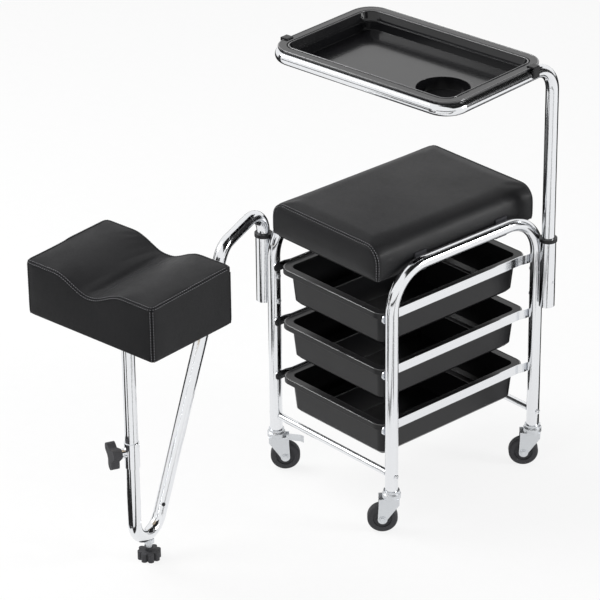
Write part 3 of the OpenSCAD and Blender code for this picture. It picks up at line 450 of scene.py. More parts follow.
@dataclass(frozen=True)
class FauxLeather(Finish):
    """Embossed leathercloth.

    Attributes:
        grain: Scale of the pebbles.
        depth: Height in metres of the pebbles.
        crease: Height in metres of the broad unevenness of the stuffing under it.
        crease_scale: Scale of that unevenness.
        valley: Colour painted into the valleys between the pebbles, as painted shade.
        valley_shade_share: How far the deepest valleys take that painted shade.
        valley_roughness: How much rougher they are.
        sheen: How strongly the surface shines back.
        polish: Scale of the patches that are polished by use.
        fade: Scale of the patches that have faded.
    """

    grain: float = 820.0
    depth: float = 0.09 * MM
    crease: float = 0.5 * MM
    crease_scale: float = 14.0
    # Painted shade: the colour painted into the valleys between the pebbles.
    valley: Colour = (0.004, 0.004, 0.005, 1.0)
    valley_shade_share: float = 0.6
    valley_roughness: float = 0.12
    sheen: float = 0.4
    polish: float = 9.0
    fade: float = 16.0

    def dress(self, graph: Graph, shader: bpy.types.Node) -> None:
        """Adds pebbles, painted shade in the valleys, polish where it is sat on, and broad
        unevenness.
        """
        place = graph.place()
        grain = LeatherGrain().place_in(graph, vector=place, scale=self.grain)
        rough = self.smudged(graph, self.polish, self.roughness)
        matt = graph.math("MULTIPLY", grain["ValleyShade"], self.valley_roughness)
        graph.feed(shader.inputs["Roughness"], graph.math("ADD", rough, matt))
        faded = self.smudged(graph, self.fade, (0.0, 1.0))
        base = graph.mixed(faded, self.colour, scaled(self.colour, 1.25))
        # Painted shade: the valleys between the pebbles are painted darker.
        painted_valley_shade = graph.math("MULTIPLY", grain["ValleyShade"], self.valley_shade_share)
        graph.feed(shader.inputs["Base Color"], graph.mixed(painted_valley_shade, base, self.valley))
        graph.feed(shader.inputs["Specular IOR Level"], self.sheen)
        broad = graph.noise(place, self.crease_scale, detail=3.0, rough=0.55)
        uneven = {"Height": broad, "Distance": self.crease, "Strength": 0.5}
        wide = graph.add("ShaderNodeBump", uneven).outputs[0]
        pebbled = {"Height": grain["Height"], "Distance": self.depth, "Strength": 0.7}
        fine = graph.add("ShaderNodeBump", pebbled | {"Normal": wide})
        graph.feed(shader.inputs["Normal"], fine.outputs[0])


@dataclass(frozen=True)
class Plywood(Finish):
    """Plain plywood, with rings on its faces and plies on its edges.

    Attributes:
        dark: Colour of the late wood.
    """

    dark: Colour = (0.30, 0.17, 0.08, 1.0)

    def dress(self, graph: Graph, shader: bpy.types.Node) -> None:
        """Adds long grain, fine pores and stacked plies."""
        along_plies, along_pores = (3.0, 0.6, 40.0), (1.0, 0.05, 1.0)
        figure = graph.noise(graph.place(along_plies), 20.0, detail=5.0, rough=0.6)
        pores = graph.noise(graph.place(along_pores), 1800.0, detail=2.0)
        late = graph.ranged(graph.blend(figure, pores, share=0.2), (0.35, 0.7), (0.0, 1.0))
        graph.feed(shader.inputs["Base Color"], graph.mixed(late, self.colour, self.dark))
        graph.feed(shader.inputs["Roughness"], graph.ranged(figure, (0.3, 0.7), self.roughness))
        self.bumped(graph, shader, pores, depth=0.08 * MM, strength=0.5)


@dataclass(frozen=True)
class Thread(Finish):
    """Twisted sewing thread."""

    def dress(self, graph: Graph, shader: bpy.types.Node) -> None:
        """Adds the twist and the fuzz of the thread."""
        waves = {"Vector": graph.place(), "Scale": 900.0, "Distortion": 1.5}
        twist = graph.add("ShaderNodeTexWave", waves).outputs[1]
        fuzz = graph.noise(graph.place(), 2600.0, detail=2.0)
        graph.feed(shader.inputs["Roughness"], graph.ranged(fuzz, (0.3, 0.7), self.roughness))
        strands = graph.mixed(twist, self.colour, scaled(self.colour, 1.8))
        graph.feed(shader.inputs["Base Color"], strands)
        self.bumped(graph, shader, twist, depth=0.1 * MM, strength=0.6)


CHROME = Plated("chrome", (0.86, 0.86, 0.87, 1.0), (0.03, 0.09))
ZINC = Plated(
    "zinc", (0.74, 0.75, 0.76, 1.0), (0.14, 0.24), ripple=0.015 * MM, wipe=60.0, fleck=900.0
)
DARK_STEEL = Plated(
    "dark_steel", (0.05, 0.05, 0.055, 1.0), (0.3, 0.45), tarnish=(0.09, 0.09, 0.09, 1.0)
)
DRAWER_PLASTIC = Moulded(
    "drawer_plastic", (0.010, 0.010, 0.011, 1.0), (0.28, 0.36), wear=1.6 * MM, dust=0.03
)
TRAY_PLASTIC = Moulded(
    "tray_plastic", (0.007, 0.007, 0.008, 1.0), (0.13, 0.17), wear=1.6 * MM,
    depth=0.002 * MM, dust=0.01, coat=0.25, sheen=0.35,
)
KNOB_PLASTIC = Moulded(
    "knob_plastic", (0.008, 0.008, 0.009, 1.0), (0.28, 0.40), wear=1.5 * MM,
    depth=0.02 * MM, dust=0.03,
)
WHEEL_PLASTIC = Moulded(
    "wheel_plastic", (0.008, 0.008, 0.009, 1.0), (0.30, 0.42), wear=1.5 * MM,
    depth=0.02 * MM, dust=0.05,
)
# Lighter grey than the black mouldings it sits on: a painted highlight line along the rolled rims.
RIM_PAINTED_HIGHLIGHT = Moulded(
    "rim_painted_highlight", (0.07, 0.07, 0.073, 1.0), (0.08, 0.12),
    depth=0.002 * MM, dust=0.0, coat=1.0, sheen=0.8,
)
BUSH_PLASTIC = Moulded("bush_plastic", (0.013, 0.013, 0.014, 1.0), (0.3, 0.4), grain=1800.0)
SEAT_LEATHER = FauxLeather(
    "seat_leather", (0.012, 0.012, 0.013, 1.0), (0.38, 0.46), sheen=0.26
)
PAD_LEATHER = FauxLeather("pad_leather", (0.011, 0.011, 0.012, 1.0), (0.40, 0.50), sheen=0.2)
THREAD = Thread("thread", (0.16, 0.16, 0.17, 1.0), (0.45, 0.65))
PLYWOOD = Plywood("plywood", (0.56, 0.38, 0.22, 1.0), (0.55, 0.7))

CAD_FINISHES: dict[Finish, tuple[str, ...]] = {
    CHROME: (
        "side_frame", "crossbar_", "rail_", "foot_socket", "tray_socket", "tray_arm", "foot_arm",
        "slide_tube", "pad_post", "pad_collar",
    ),
    ZINC: (
        "caster_fork", "caster_axle", "caster_stems", "brake_lever", "levelling_stud",
        "leveller_nut", "pad_plate", "pad_screws", "clamp_screw", "seat_board_screws",
        "seat_strap_screws", "foot_socket_bolts", "tray_socket_bolts",
    ),
    DARK_STEEL: ("seat_straps",),
    DRAWER_PLASTIC: ("drawer_",),
    TRAY_PLASTIC: ("tray",),
    KNOB_PLASTIC: ("clamp_knob", "levelling_foot"),
    BUSH_PLASTIC: (
        "foot_socket_bush", "tray_socket_bush", "tray_arm_plug", "arm_plug", "tray_clips"
    ),
    WHEEL_PLASTIC: ("caster_wheel",),
    SEAT_LEATHER: ("seat_cushion", "seat_board"),
    PAD_LEATHER: ("pad_cushion",),
    PLYWOOD: ("pad_board",),
}


def finish_of(node: str) -> Finish:
    """Returns the finish whose longest matching name start fits a CAD node."""
    fits = [
        (len(start), finish)
        for finish, starts in CAD_FINISHES.items() for start in starts if node.startswith(start)
    ]
    return max(fits, key=lambda fit: fit[0])[1]


def dress_cad() -> None:
    """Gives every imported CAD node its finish."""
    for name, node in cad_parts.items():
        finish = finish_of(name)
        node.data.materials.clear()
        node.data.materials.append(finish.material())
        log.info("dressed %s in %s", name, finish.title)


# Studio


@dataclass
class Studio:
    """The pale floor, the soft lamps, the dark flags and the camera.

    Attributes:
        eye: Where the camera stands.
        azimuth: Direction to the camera, from the front towards the right, in degrees.
        elevation: Height of the camera's view above the level, in degrees.
        roll: Turn of the picture about the view, in degrees.
        focal: Focal length in widths of the picture.
        sensor: Width of the camera's sensor in millimetres.
        glow: Share of the floor's look that is plain white paper.
        ambient: Brightness of the room for soft light.
        floor_size: Side of the floor.
        aim: What the lamps look at.
        standing: Upright flags, each as bearing, distance, width, foot and top.
        lying: Flags on the floor, each as start, bearing, near end, far end and width.
        hanging: Flags overhead, each as middle and size.
    """

    eye: Point = (3.48734, -3.09772, 2.7343)
    azimuth: float = 48.41
    elevation: float = 26.61
    roll: float = -0.66
    focal: float = 3200 / 600
    sensor: float = 36.0
    glow: float = 0.84
    ambient: float = 0.42
    floor_size: float = 14.0
    aim: Point = (0.0, 0.0, 0.4)
    standing: tuple[tuple[float, ...], ...] = (
        (48.0, 3.4, 5.5, -0.05, 0.42),
        (-30.0, 3.2, 2.0, -0.05, 0.5),
        (150.0, 3.0, 1.2, 0.0, 2.6),
        (-62.0, 3.0, 0.8, 0.0, 2.6),
    )
    lying: tuple[tuple[float, ...], ...] = (
        (0.0, 0.0, 228.4, 0.55, 3.6, 6.0),
        (0.0, 0.0, -22.0, 0.42, 3.0, 0.3),
        (0.0, 0.0, 4.0, 0.7, 3.0, 0.12),
        (0.0, 0.0, 84.0, 0.6, 3.0, 0.12),
        (0.0, 0.0, 168.0, 0.5, 3.0, 0.3),
        (-0.06, -0.4, 16.0, 0.03, 1.4, 0.12),
        (-0.06, -0.4, 100.0, 0.03, 1.2, 0.06),
    )
    hanging: tuple[tuple[Point, Range], ...] = (((2.6, 2.2, 3.4), (5.6, 6.4)),)

    def camera(self) -> None:
        """Makes the camera."""
        data = bpy.data.cameras.new("camera")
        data.sensor_width = self.sensor
        data.lens = self.focal * self.sensor
        data.clip_end = 40.0
        camera = bpy.data.objects.new("camera", data)
        turn = Matrix.Rotation(math.radians(self.azimuth), 4, "Z")
        tilt = Matrix.Rotation(math.radians(90.0 - self.elevation), 4, "X")
        roll = Matrix.Rotation(math.radians(self.roll), 4, "Z")
        camera.matrix_world = Matrix.Translation(self.eye) @ turn @ tilt @ roll
        bpy.context.collection.objects.link(camera)
        bpy.context.scene.camera = camera

    def world(self) -> None:
        """Makes a room that is white to look at and softer as light."""
        world = bpy.data.worlds.new("room")
        world.use_nodes = True
        graph = Graph(world.node_tree)
        path = graph.add("ShaderNodeLightPath").outputs
        seen = graph.math("MAXIMUM", path["Is Camera Ray"], path["Is Glossy Ray"])
        seen = graph.math("MAXIMUM", seen, path["Is Transmission Ray"])
        strength = graph.ranged(seen, (0.0, 1.0), (self.ambient, 1.0))
        light = graph.add("ShaderNodeBackground", {"Color": WHITE, "Strength": strength})
        graph.add("ShaderNodeOutputWorld", {"Surface": light.outputs[0]})
        bpy.context.scene.world = world

    def floor(self) -> None:
        """Makes the paper floor, which shows white and keeps the shadow."""
        material, graph = new_material("floor_paper")
        fibre = graph.noise(graph.place(), 40.0, detail=5.0)
        fibre = graph.ranged(fibre, (0.3, 0.7), (0.0, 1.0))
        paper = graph.mixed(fibre, scaled(WHITE, 0.9), scaled(WHITE, 0.86))
        matt = graph.add("ShaderNodeBsdfDiffuse", {"Color": paper})
        white = graph.add("ShaderNodeEmission", {"Color": WHITE, "Strength": 1.0})
        path = graph.add("ShaderNodeLightPath").outputs
        seen = graph.math("MAXIMUM", path["Is Camera Ray"], path["Is Glossy Ray"])
        share = graph.math("MULTIPLY", seen, self.glow)
        both = graph.add("ShaderNodeMixShader", {0: share, 1: matt.outputs[0], 2: white.outputs[0]})
        graph.add("ShaderNodeOutputMaterial", {"Surface": both.outputs[0]})
        self.panel("floor", (self.floor_size, self.floor_size), Vector(), UP, material)

    def panel(
        self,
        title: str,
        size: Range,
        centre: Vector,
        facing: Vector,
        material: bpy.types.Material,
        turn: Matrix | None = None,
    ) -> bpy.types.Object:
        """Makes a flat stage panel.

        Args:
            title: Name of the panel.
            size: Its level side and its other side.
            centre: Where its middle is.
            facing: The way its face looks.
            material: Its material.
            turn: Its whole turn, where facing alone doesn't settle it.

        Returns:
            The panel.
        """
        work = bmesh.new()
        bmesh.ops.create_grid(work, x_segments=1, y_segments=1, size=0.5)
        bmesh.ops.scale(work, vec=(*size, 1.0), verts=work.verts)
        turn = turn or facing.to_track_quat("Z", "Y").to_matrix().to_4x4()
        bmesh.ops.transform(work, matrix=Matrix.Translation(centre) @ turn, verts=work.verts)
        mesh = bpy.data.meshes.new(title)
        work.to_mesh(mesh)
        work.free()
        mesh.materials.append(material)
        panel = bpy.data.objects.new(title, mesh)
        bpy.context.collection.objects.link(panel)
        return panel

    def flags(self) -> None:
        """Sets dark cloths that only gloss sees, for the dark lines in the plating."""
        material, graph = new_material("flag_cloth")
        weave = graph.noise(graph.place(), 200.0, detail=2.0)
        cloth = graph.mixed(weave, scaled(WHITE, 0.01), scaled(WHITE, 0.03))
        shader = graph.add("ShaderNodeBsdfDiffuse", {"Color": cloth})
        graph.add("ShaderNodeOutputMaterial", {"Surface": shader.outputs[0]})
        for number, (bearing, away, width, low, high) in enumerate(self.standing):
            out = self.heading(bearing)
            centre = out * away + UP * (low + high) / 2
            flag = self.panel(f"flag_{number}", (width, high - low), centre, -out, material)
            self.only_shines(flag)
        for number, (x, y, bearing, near, far, width) in enumerate(self.lying):
            out = self.heading(bearing)
            apart = (2 + number) * MM
            centre = Vector((x, y, apart)) + out * (near + far) / 2
            turn = out.to_track_quat("X", "Z").to_matrix().to_4x4()
            strip = self.panel(f"strip_{number}", (far - near, width), centre, UP, material, turn)
            self.only_shines(strip)
        for number, (at, size) in enumerate(self.hanging):
            self.only_shines(self.panel(f"ceiling_{number}", size, Vector(at), DOWN, material))

    @staticmethod
    def heading(bearing: float) -> Vector:
        """Returns the level direction at a bearing, in degrees from the front towards the right."""
        angle = math.radians(bearing - 90.0)
        return Vector((math.cos(angle), math.sin(angle), 0.0))

    @staticmethod
    def only_shines(panel: bpy.types.Object) -> None:
        """Hides a panel from all but gloss."""
        panel.visible_camera = False
        panel.visible_diffuse = False
        panel.visible_shadow = False

    def lamp(
        self, title: str, at: Point, size: float, watts: float, shines: bool = False
    ) -> None:
        """Hangs a square soft box that looks at the middle of the stool.

        Args:
            title: Name of the lamp.
            at: Where it hangs.
            size: Side of the box.
            watts: Its power.
            shines: Whether it is seen in gloss.
        """
        data = bpy.data.lights.new(title, "AREA")
        data.size = size
        data.energy = watts
        lamp = bpy.data.objects.new(title, data)
        look = (Vector(self.aim) - Vector(at)).to_track_quat("-Z", "Y")
        lamp.matrix_world = Matrix.Translation(at) @ look.to_matrix().to_4x4()
        lamp.visible_glossy = shines
        bpy.context.collection.objects.link(lamp)

    def build(self) -> None:
        """Builds the whole studio."""
        self.camera()
        self.world()
        self.floor()
        self.flags()
        self.lamp("key", (-1.6, -0.6, 2.9), 1.8, 44.0)
        self.lamp("edge", (-2.0, -1.35, 2.3), 1.2, 28.0, shines=True)
        self.lamp("side", (2.7, 2.1, 1.45), 0.9, 58.0, shines=True)
        self.lamp("front", (0.6, -3.2, 1.6), 1.4, 20.0)
        bpy.context.scene.view_settings.view_transform = "Standard"
        log.info("studio built")


# Meshes


def piece(title: str, work: bmesh.types.BMesh, finish: Finish, body: str) -> bpy.types.Object:
    """Makes a smooth object of a finished bmesh.

    Args:
        title: Name of the piece.
        work: The mesh, which is used up.
        finish: Its finish.
        body: The body that it rides on.

    Returns:
        The piece, riding on its body.
    """
    bmesh.ops.recalc_face_normals(work, faces=work.faces)
    mesh = bpy.data.meshes.new(title)
    work.to_mesh(mesh)
    work.free()
    mesh.polygons.foreach_set("use_smooth", [True] * len(mesh.polygons))
    mesh.materials.append(finish.material())
    made = bpy.data.objects.new(title, mesh)
    bpy.context.collection.objects.link(made)
    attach(made, body)
    return made


def round_over(
    work: bmesh.types.BMesh, edges: list[bmesh.types.BMEdge], radius: float, segments: int
) -> None:
    """Rounds edges over."""
    bmesh.ops.bevel(
        work, geom=edges, offset=radius, segments=segments, profile=0.5, affect="EDGES", material=-1
    )


def rounded(half: Range, corner: float, steps: int) -> list[Vector]:
    """Returns the outline of a level rectangle with round corners.

    Args:
        half: Half of its two sides.
        corner: Radius of its corners.
        steps: Steps round each corner.

    Returns:
        The points round it, the rear right corner first.
    """
    points = []
    for quarter, (right, back) in enumerate(QUARTERS):
        middle = Vector((right * (half[0] - corner), back * (half[1] - corner), 0.0))
        for step in range(steps + 1):
            turn = math.pi / 2 * (quarter + step / steps)
            points.append(middle + Vector((math.cos(turn), math.sin(turn), 0.0)) * corner)
    return points


def settle(thing: bpy.types.Object) -> None:
    """Makes an object's modifiers part of its mesh."""
    graph = bpy.context.evaluated_depsgraph_get()
    mesh = bpy.data.meshes.new_from_object(thing.evaluated_get(graph))
    thing.modifiers.clear()
    thing.data = mesh


def spaced(points: list[Vector], step: float, closed: bool = False) -> list[Vector]:
    """Returns points at even steps along a broken line, through all of its length."""
    if closed:
        points = points + points[:1]
    lengths = [0.0]
    for first, second in zip(points, points[1:]):
        lengths.append(lengths[-1] + (second - first).length)
    count = max(2, round(lengths[-1] / step))
    made, leg = [], 0
    for number in range(count if closed else count + 1):
        target = lengths[-1] * number / count
        while leg < len(points) - 2 and lengths[leg + 1] < target:
            leg += 1
        share = (target - lengths[leg]) / max(lengths[leg + 1] - lengths[leg], 1e-9)
        made.append(points[leg].lerp(points[leg + 1], min(share, 1.0)))
    return made


def evened(points: list[Vector], closed: bool, rounds: int = 2) -> list[Vector]:
    """Returns a line with its small kinks smoothed, its free ends kept."""
    for _ in range(rounds):
        count = len(points)
        points = [
            point if not closed and number in (0, count - 1)
            else (points[number - 1] + point * 2.0 + points[(number + 1) % count]) * 0.25
            for number, point in enumerate(points)
        ]
    return points


def add_strand(
    work: bmesh.types.BMesh, points: list[Vector], radius: float, closed: bool = False
) -> None:
    """Adds a round strand along a line.

    Args:
        work: The mesh it is added to.
        points: The middle of the strand.
        radius: Its radius.
        closed: Whether it runs round.
    """
    curve = bpy.data.curves.new("strand", "CURVE")
    curve.dimensions = "3D"
    curve.bevel_depth = radius
    curve.bevel_resolution = 2
    curve.use_fill_caps = True
    spline = curve.splines.new("POLY")
    spline.points.add(len(points) - 1)
    spline.points.foreach_set("co", [number for point in points for number in (*point, 1.0)])
    spline.use_cyclic_u = closed
    thing = bpy.data.objects.new("strand", curve)
    mesh = bpy.data.meshes.new_from_object(thing)
    work.from_mesh(mesh)
    bpy.data.objects.remove(thing)
    bpy.data.meshes.remove(mesh)
    bpy.data.curves.remove(curve)


def placed_at(at: Vector, turn: float) -> Matrix:
    """Returns a place and a turn about the upright, in degrees."""
    return Matrix.Translation(at) @ Matrix.Rotation(math.radians(turn), 4, "Z")


@dataclass
class RolledEdge:
    """The rolled edge of a moulding, painted a lighter grey than the moulding as a painted
    highlight line.

    Attributes:
        title: Name of the piece.
        body: The body that it rides on.
        centre: Its middle, at the height of the roll's own middle.
        half: Half of its two sides, to the middle of the roll.
        corner: Radius of its corners.
        turn: Its turn about the upright, in degrees.
        radius: Radius of the roll.
    """

    title: str
    body: str
    centre: Vector
    half: Range
    corner: float
    turn: float = 0.0
    radius: float = 1.2 * MM

    def make(self) -> bpy.types.Object:
        """Makes the roll and returns it."""
        place = placed_at(self.centre, self.turn)
        points = [place @ point for point in rounded(self.half, self.corner, steps=8)]
        work = bmesh.new()
        add_strand(work, points, self.radius, closed=True)
        log.info("rolled %s", self.title)
        # The roll's lighter grey is a painted highlight line.
        return piece(self.title, work, RIM_PAINTED_HIGHLIGHT, self.body)


@dataclass
class Rims:
    """The rolled rims of the three drawers and of the tray, painted lighter grey as painted
    highlight lines.

    Attributes:
        sunk: How far the middle of a roll is below the top of its moulding.
        drawer_inset: From the edge of a drawer to the middle of its roll.
        drawer_corner: Radius of a drawer's corners, to the middle of the roll.
        tray_turn: Turn of the tray on its ring, in degrees.
        tray_outer: Half of the tray's sides, to the middle of its outer roll.
        tray_corner: Radius of the tray's corners, to the middle of its outer roll.
        tray_roll: Radius of the tray's outer roll.
        tray_land: From the tray's outer roll to the one round its well.
    """

    sunk: float = 0.5 * MM
    drawer_inset: float = 1.2 * MM
    drawer_corner: float = 21.2 * MM
    tray_turn: float = 6.0
    tray_outer: Range = (191.1 * MM, 124.1 * MM)
    tray_corner: float = 37.1 * MM
    tray_roll: float = 1.3 * MM
    tray_land: float = 16.6 * MM

    def centre(self, node: str) -> Vector:
        """Returns the middle of a moulding's rolls."""
        low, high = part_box(node)
        return Vector(((low.x + high.x) / 2, (low.y + high.y) / 2, high.z - self.sunk))

    def drawer(self, node: str) -> None:
        """Rolls the rim of a drawer."""
        low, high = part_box(node)
        half = (high - low) / 2 - Vector((1, 1, 1)) * self.drawer_inset
        title = f"{node}_rolled_rim_painted_highlight"
        RolledEdge(title, node, self.centre(node), half[:2], self.drawer_corner).make()

    def tray(self) -> None:
        """Rolls the tray's outer rim and the one round its well."""
        at, land = self.centre("tray"), self.tray_land
        outer, corner = self.tray_outer, self.tray_corner
        inner = (outer[0] - land, outer[1] - land)
        turn, roll = self.tray_turn, self.tray_roll
        RolledEdge("tray_rolled_rim_painted_highlight", "tray", at, outer, corner, turn, roll).make()
        RolledEdge("tray_inner_rim_painted_highlight", "tray", at, inner, corner - land, turn).make()

    def make(self) -> None:
        """Makes all the rolls."""
        for level in ("top", "middle", "bottom"):
            self.drawer(f"drawer_{level}")
        self.tray()


# Soft pieces


@dataclass
class Seam:
    """A seam with a rolled lip and a row of stitches on each side.

    Attributes:
        line: Points along the seam.
        sides: At each point, the two ways that lead off the seam along the cover.
        closed: Whether the seam runs round.
        lip_off: How far the middle of a lip is from the seam.
        lip_radius: Radius of a lip.
        lip_rise: How far the middle of a lip stands off the cover.
        pitch: From one stitch to the next.
        stitch: Length of a stitch.
        thread: Radius of the thread.
    """

    line: list[Vector]
    sides: list[tuple[Vector, Vector]]
    closed: bool = False
    lip_off: float = 2.5 * MM
    lip_radius: float = 1.7 * MM
    lip_rise: float = -0.2 * MM
    pitch: float = 4.6 * MM
    stitch: float = 3.4 * MM
    thread: float = 0.5 * MM

    def placed(self, place: Matrix) -> "Seam":
        """Returns the seam moved to its place on the stool."""
        turn = place.to_3x3()
        line = [place @ point for point in self.line]
        sides = [(turn @ first, turn @ second) for first, second in self.sides]
        return Seam(line, sides, self.closed)

    def beside(self, side: int, off: float, rise: float, cover: BVHTree) -> list[Vector]:
        """Returns the line moved off to one side and laid on the cover.

        Args:
            side: Which of the two sides.
            off: How far to the side.
            rise: How far the line stands off the cover.
            cover: The cover.

        Returns:
            The points of the moved line.
        """
        laid = []
        for point, ways in zip(self.line, self.sides):
            near, normal, _, _ = cover.find_nearest(point + ways[side] * off)
            laid.append(near + normal * rise)
        return evened(laid, self.closed)

    def add_lips(self, work: bmesh.types.BMesh, cover: BVHTree) -> None:
        """Adds the two lips."""
        for side in (0, 1):
            middle = self.beside(side, self.lip_off, self.lip_rise, cover)
            add_strand(work, middle, self.lip_radius, self.closed)

    def add_stitches(self, work: bmesh.types.BMesh, cover: BVHTree) -> None:
        """Adds a row of stitches along the crest of each lip."""
        crest = self.lip_rise + self.lip_radius
        for side in (0, 1):
            row = spaced(self.beside(side, self.lip_off, crest, cover), self.pitch, self.closed)
            for before, after in zip(row, row[1:]):
                along = (after - before).to_track_quat("X", "Z").to_matrix().to_4x4()
                size = Matrix.Diagonal((self.stitch / 2, self.thread, self.thread, 1.0))
                at = Matrix.Translation((before + after) / 2) @ along @ size
                bmesh.ops.create_icosphere(work, subdivisions=1, radius=1.0, matrix=at)


@dataclass
class Cushion:
    """A sewn cover on a block of foam, drawn up by its seams.

    Attributes:
        title: Name of the piece.
        node: The CAD node that it stands for.
        body: The body that it rides on.
        finish: The finish of its cover.
        turn: Its turn about the upright, in degrees.
        shrink: How much smaller the block starts on each side.
        voxel: Size of the even mesh.
        pressure: How hard the foam pushes.
        cap: The furthest that a point swells.
        valley: Depth of the valley along a seam.
        valley_width: Half width of that valley.
        fill: How full it is, from 0 to 1; not used.
        pinned: How near a seam the cover is kept still.
        tacked: Up to what height the board holds the cover.
        foot: The lowest that the cover comes.
        step: From one point of a seam to the next.
        frames: Length of the simulation.
    """

    title: str
    node: str
    body: str
    finish: FauxLeather
    turn: float = 0.0
    shrink: float = 1.5 * MM
    voxel: float = 5.0 * MM
    pressure: float = 4.0
    cap: float = 5.0 * MM
    valley: float = 1.1 * MM
    valley_width: float = 2.6 * MM
    fill: float = 0.85
    pinned: float = 4.0 * MM
    tacked: float = 6.0 * MM
    foot: float = 1.0 * MM
    step: float = 3.0 * MM
    frames: int = 20

    def block(self) -> bmesh.types.BMesh:
        """Returns the plain block, its middle at the origin and its foot at zero height."""
        raise NotImplementedError

    def seams(self) -> list[Seam]:
        """Returns the seams of the block."""
        raise NotImplementedError

    def held(self, point: Vector) -> bool:
        """Tells whether a point is kept still by the board."""
        return point.z < self.tacked

    def bounded(self, point: Vector) -> Vector:
        """Returns a point kept above what the cushion lies on."""
        return Vector((point.x, point.y, max(point.z, self.foot)))

    def cuboid(self, width: float, length: float, height: float) -> bmesh.types.BMesh:
        """Returns a box that is smaller by the shrink on each side, its foot that far up."""
        size = Vector((width, length, height)) - Vector((1, 1, 1)) * 2 * self.shrink
        work = bmesh.new()
        bmesh.ops.create_cube(work, size=1.0)
        bmesh.ops.scale(work, vec=size, verts=work.verts)
        bmesh.ops.translate(work, vec=UP * (size.z / 2 + self.shrink), verts=work.verts)
        return work

    def place(self) -> Matrix:
        """Returns where the cushion stands."""
        low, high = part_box(self.node)
        at = Vector(((low.x + high.x) / 2, (low.y + high.y) / 2, low.z))
        return placed_at(at, self.turn)

    def swollen(self, soft: bpy.types.Object, near_seam: list[float]) -> None:
        """Lets the foam press the cover out between its seams, by a cloth simulation.

        Args:
            soft: The even block, which is changed.
            near_seam: The distance of each of its points to the nearest seam.
        """
        before = [vertex.co.copy() for vertex in soft.data.vertices]
        kept = [n for n, co in enumerate(before) if near_seam[n] < self.pinned or self.held(co)]
        soft.vertex_groups.new(name="kept").add(kept, 1.0, "REPLACE")
        cloth = soft.modifiers.new("swell", "CLOTH")
        cloth.settings.quality = 4
        cloth.settings.vertex_group_mass = "kept"
        cloth.settings.use_pressure = True
        cloth.settings.uniform_pressure_force = self.pressure
        cloth.settings.effector_weights.gravity = 0.0
        cloth.collision_settings.use_collision = False
        cloth.collision_settings.use_self_collision = False
        cloth.point_cache.frame_end = self.frames
        for number in range(1, self.frames + 1):
            bpy.context.scene.frame_set(number)
        settle(soft)
        bpy.context.scene.frame_set(1)
        for vertex, start in zip(soft.data.vertices, before):
            move = vertex.co - start
            if move.length > self.cap:
                move *= self.cap / move.length
            vertex.co = start + move

    def cover(self) -> bmesh.types.BMesh:
        """Returns the finished cover, still at the origin."""
        start = bpy.data.meshes.new(self.title)
        work = self.block()
        work.to_mesh(start)
        work.free()
        soft = bpy.data.objects.new("soft_block", start)
        bpy.context.collection.objects.link(soft)
        remesh = soft.modifiers.new("even", "REMESH")
        remesh.mode = "VOXEL"
        remesh.voxel_size = self.voxel
        settle(soft)
        lines = [point for seam in self.seams() for point in seam.line]
        tree = KDTree(len(lines))
        for number, point in enumerate(lines):
            tree.insert(point, number)
        tree.balance()
        self.swollen(soft, [tree.find(vertex.co)[2] for vertex in soft.data.vertices])
        finer = soft.modifiers.new("finer", "SUBSURF")
        finer.levels = finer.render_levels = 1
        settle(soft)
        work = bmesh.new()
        work.from_mesh(soft.data)
        bpy.data.objects.remove(soft)
        work.normal_update()
        moves = []
        for vertex in work.verts:
            off = tree.find(vertex.co)[2] / self.valley_width
            moves.append(vertex.co - vertex.normal * self.valley * math.exp(-off * off))
        for vertex, co in zip(work.verts, moves):
            vertex.co = self.bounded(co)
        return work

    def make(self) -> bpy.types.Object:
        """Makes the cushion with its seams and stitches and returns the cushion."""
        place = self.place()
        work = self.cover()
        work.transform(place)
        surface = BVHTree.FromBMesh(work)
        cushion = piece(self.title, work, self.finish, self.body)
        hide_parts(self.node)
        lips, stitches = bmesh.new(), bmesh.new()
        for seam in self.seams():
            there = seam.placed(place)
            there.add_lips(lips, surface)
            there.add_stitches(stitches, surface)
        piece(f"{self.title}_seams", lips, self.finish, self.body)
        piece(f"{self.title}_stitches", stitches, THREAD, self.body)
        log.info("sewed %s with %d seams", self.title, len(self.seams()))
        return cushion


def clamped(value: float, limit: float) -> float:
    """Returns a value kept within a limit on both sides of zero."""
    return max(-limit, min(limit, value))


def runs(edge: bmesh.types.BMEdge, axis: str) -> bool:
    """Tells whether an edge of a box runs along an axis."""
    first, second = edge.verts
    return abs(getattr(first.co - second.co, axis)) > 10.0 * MM


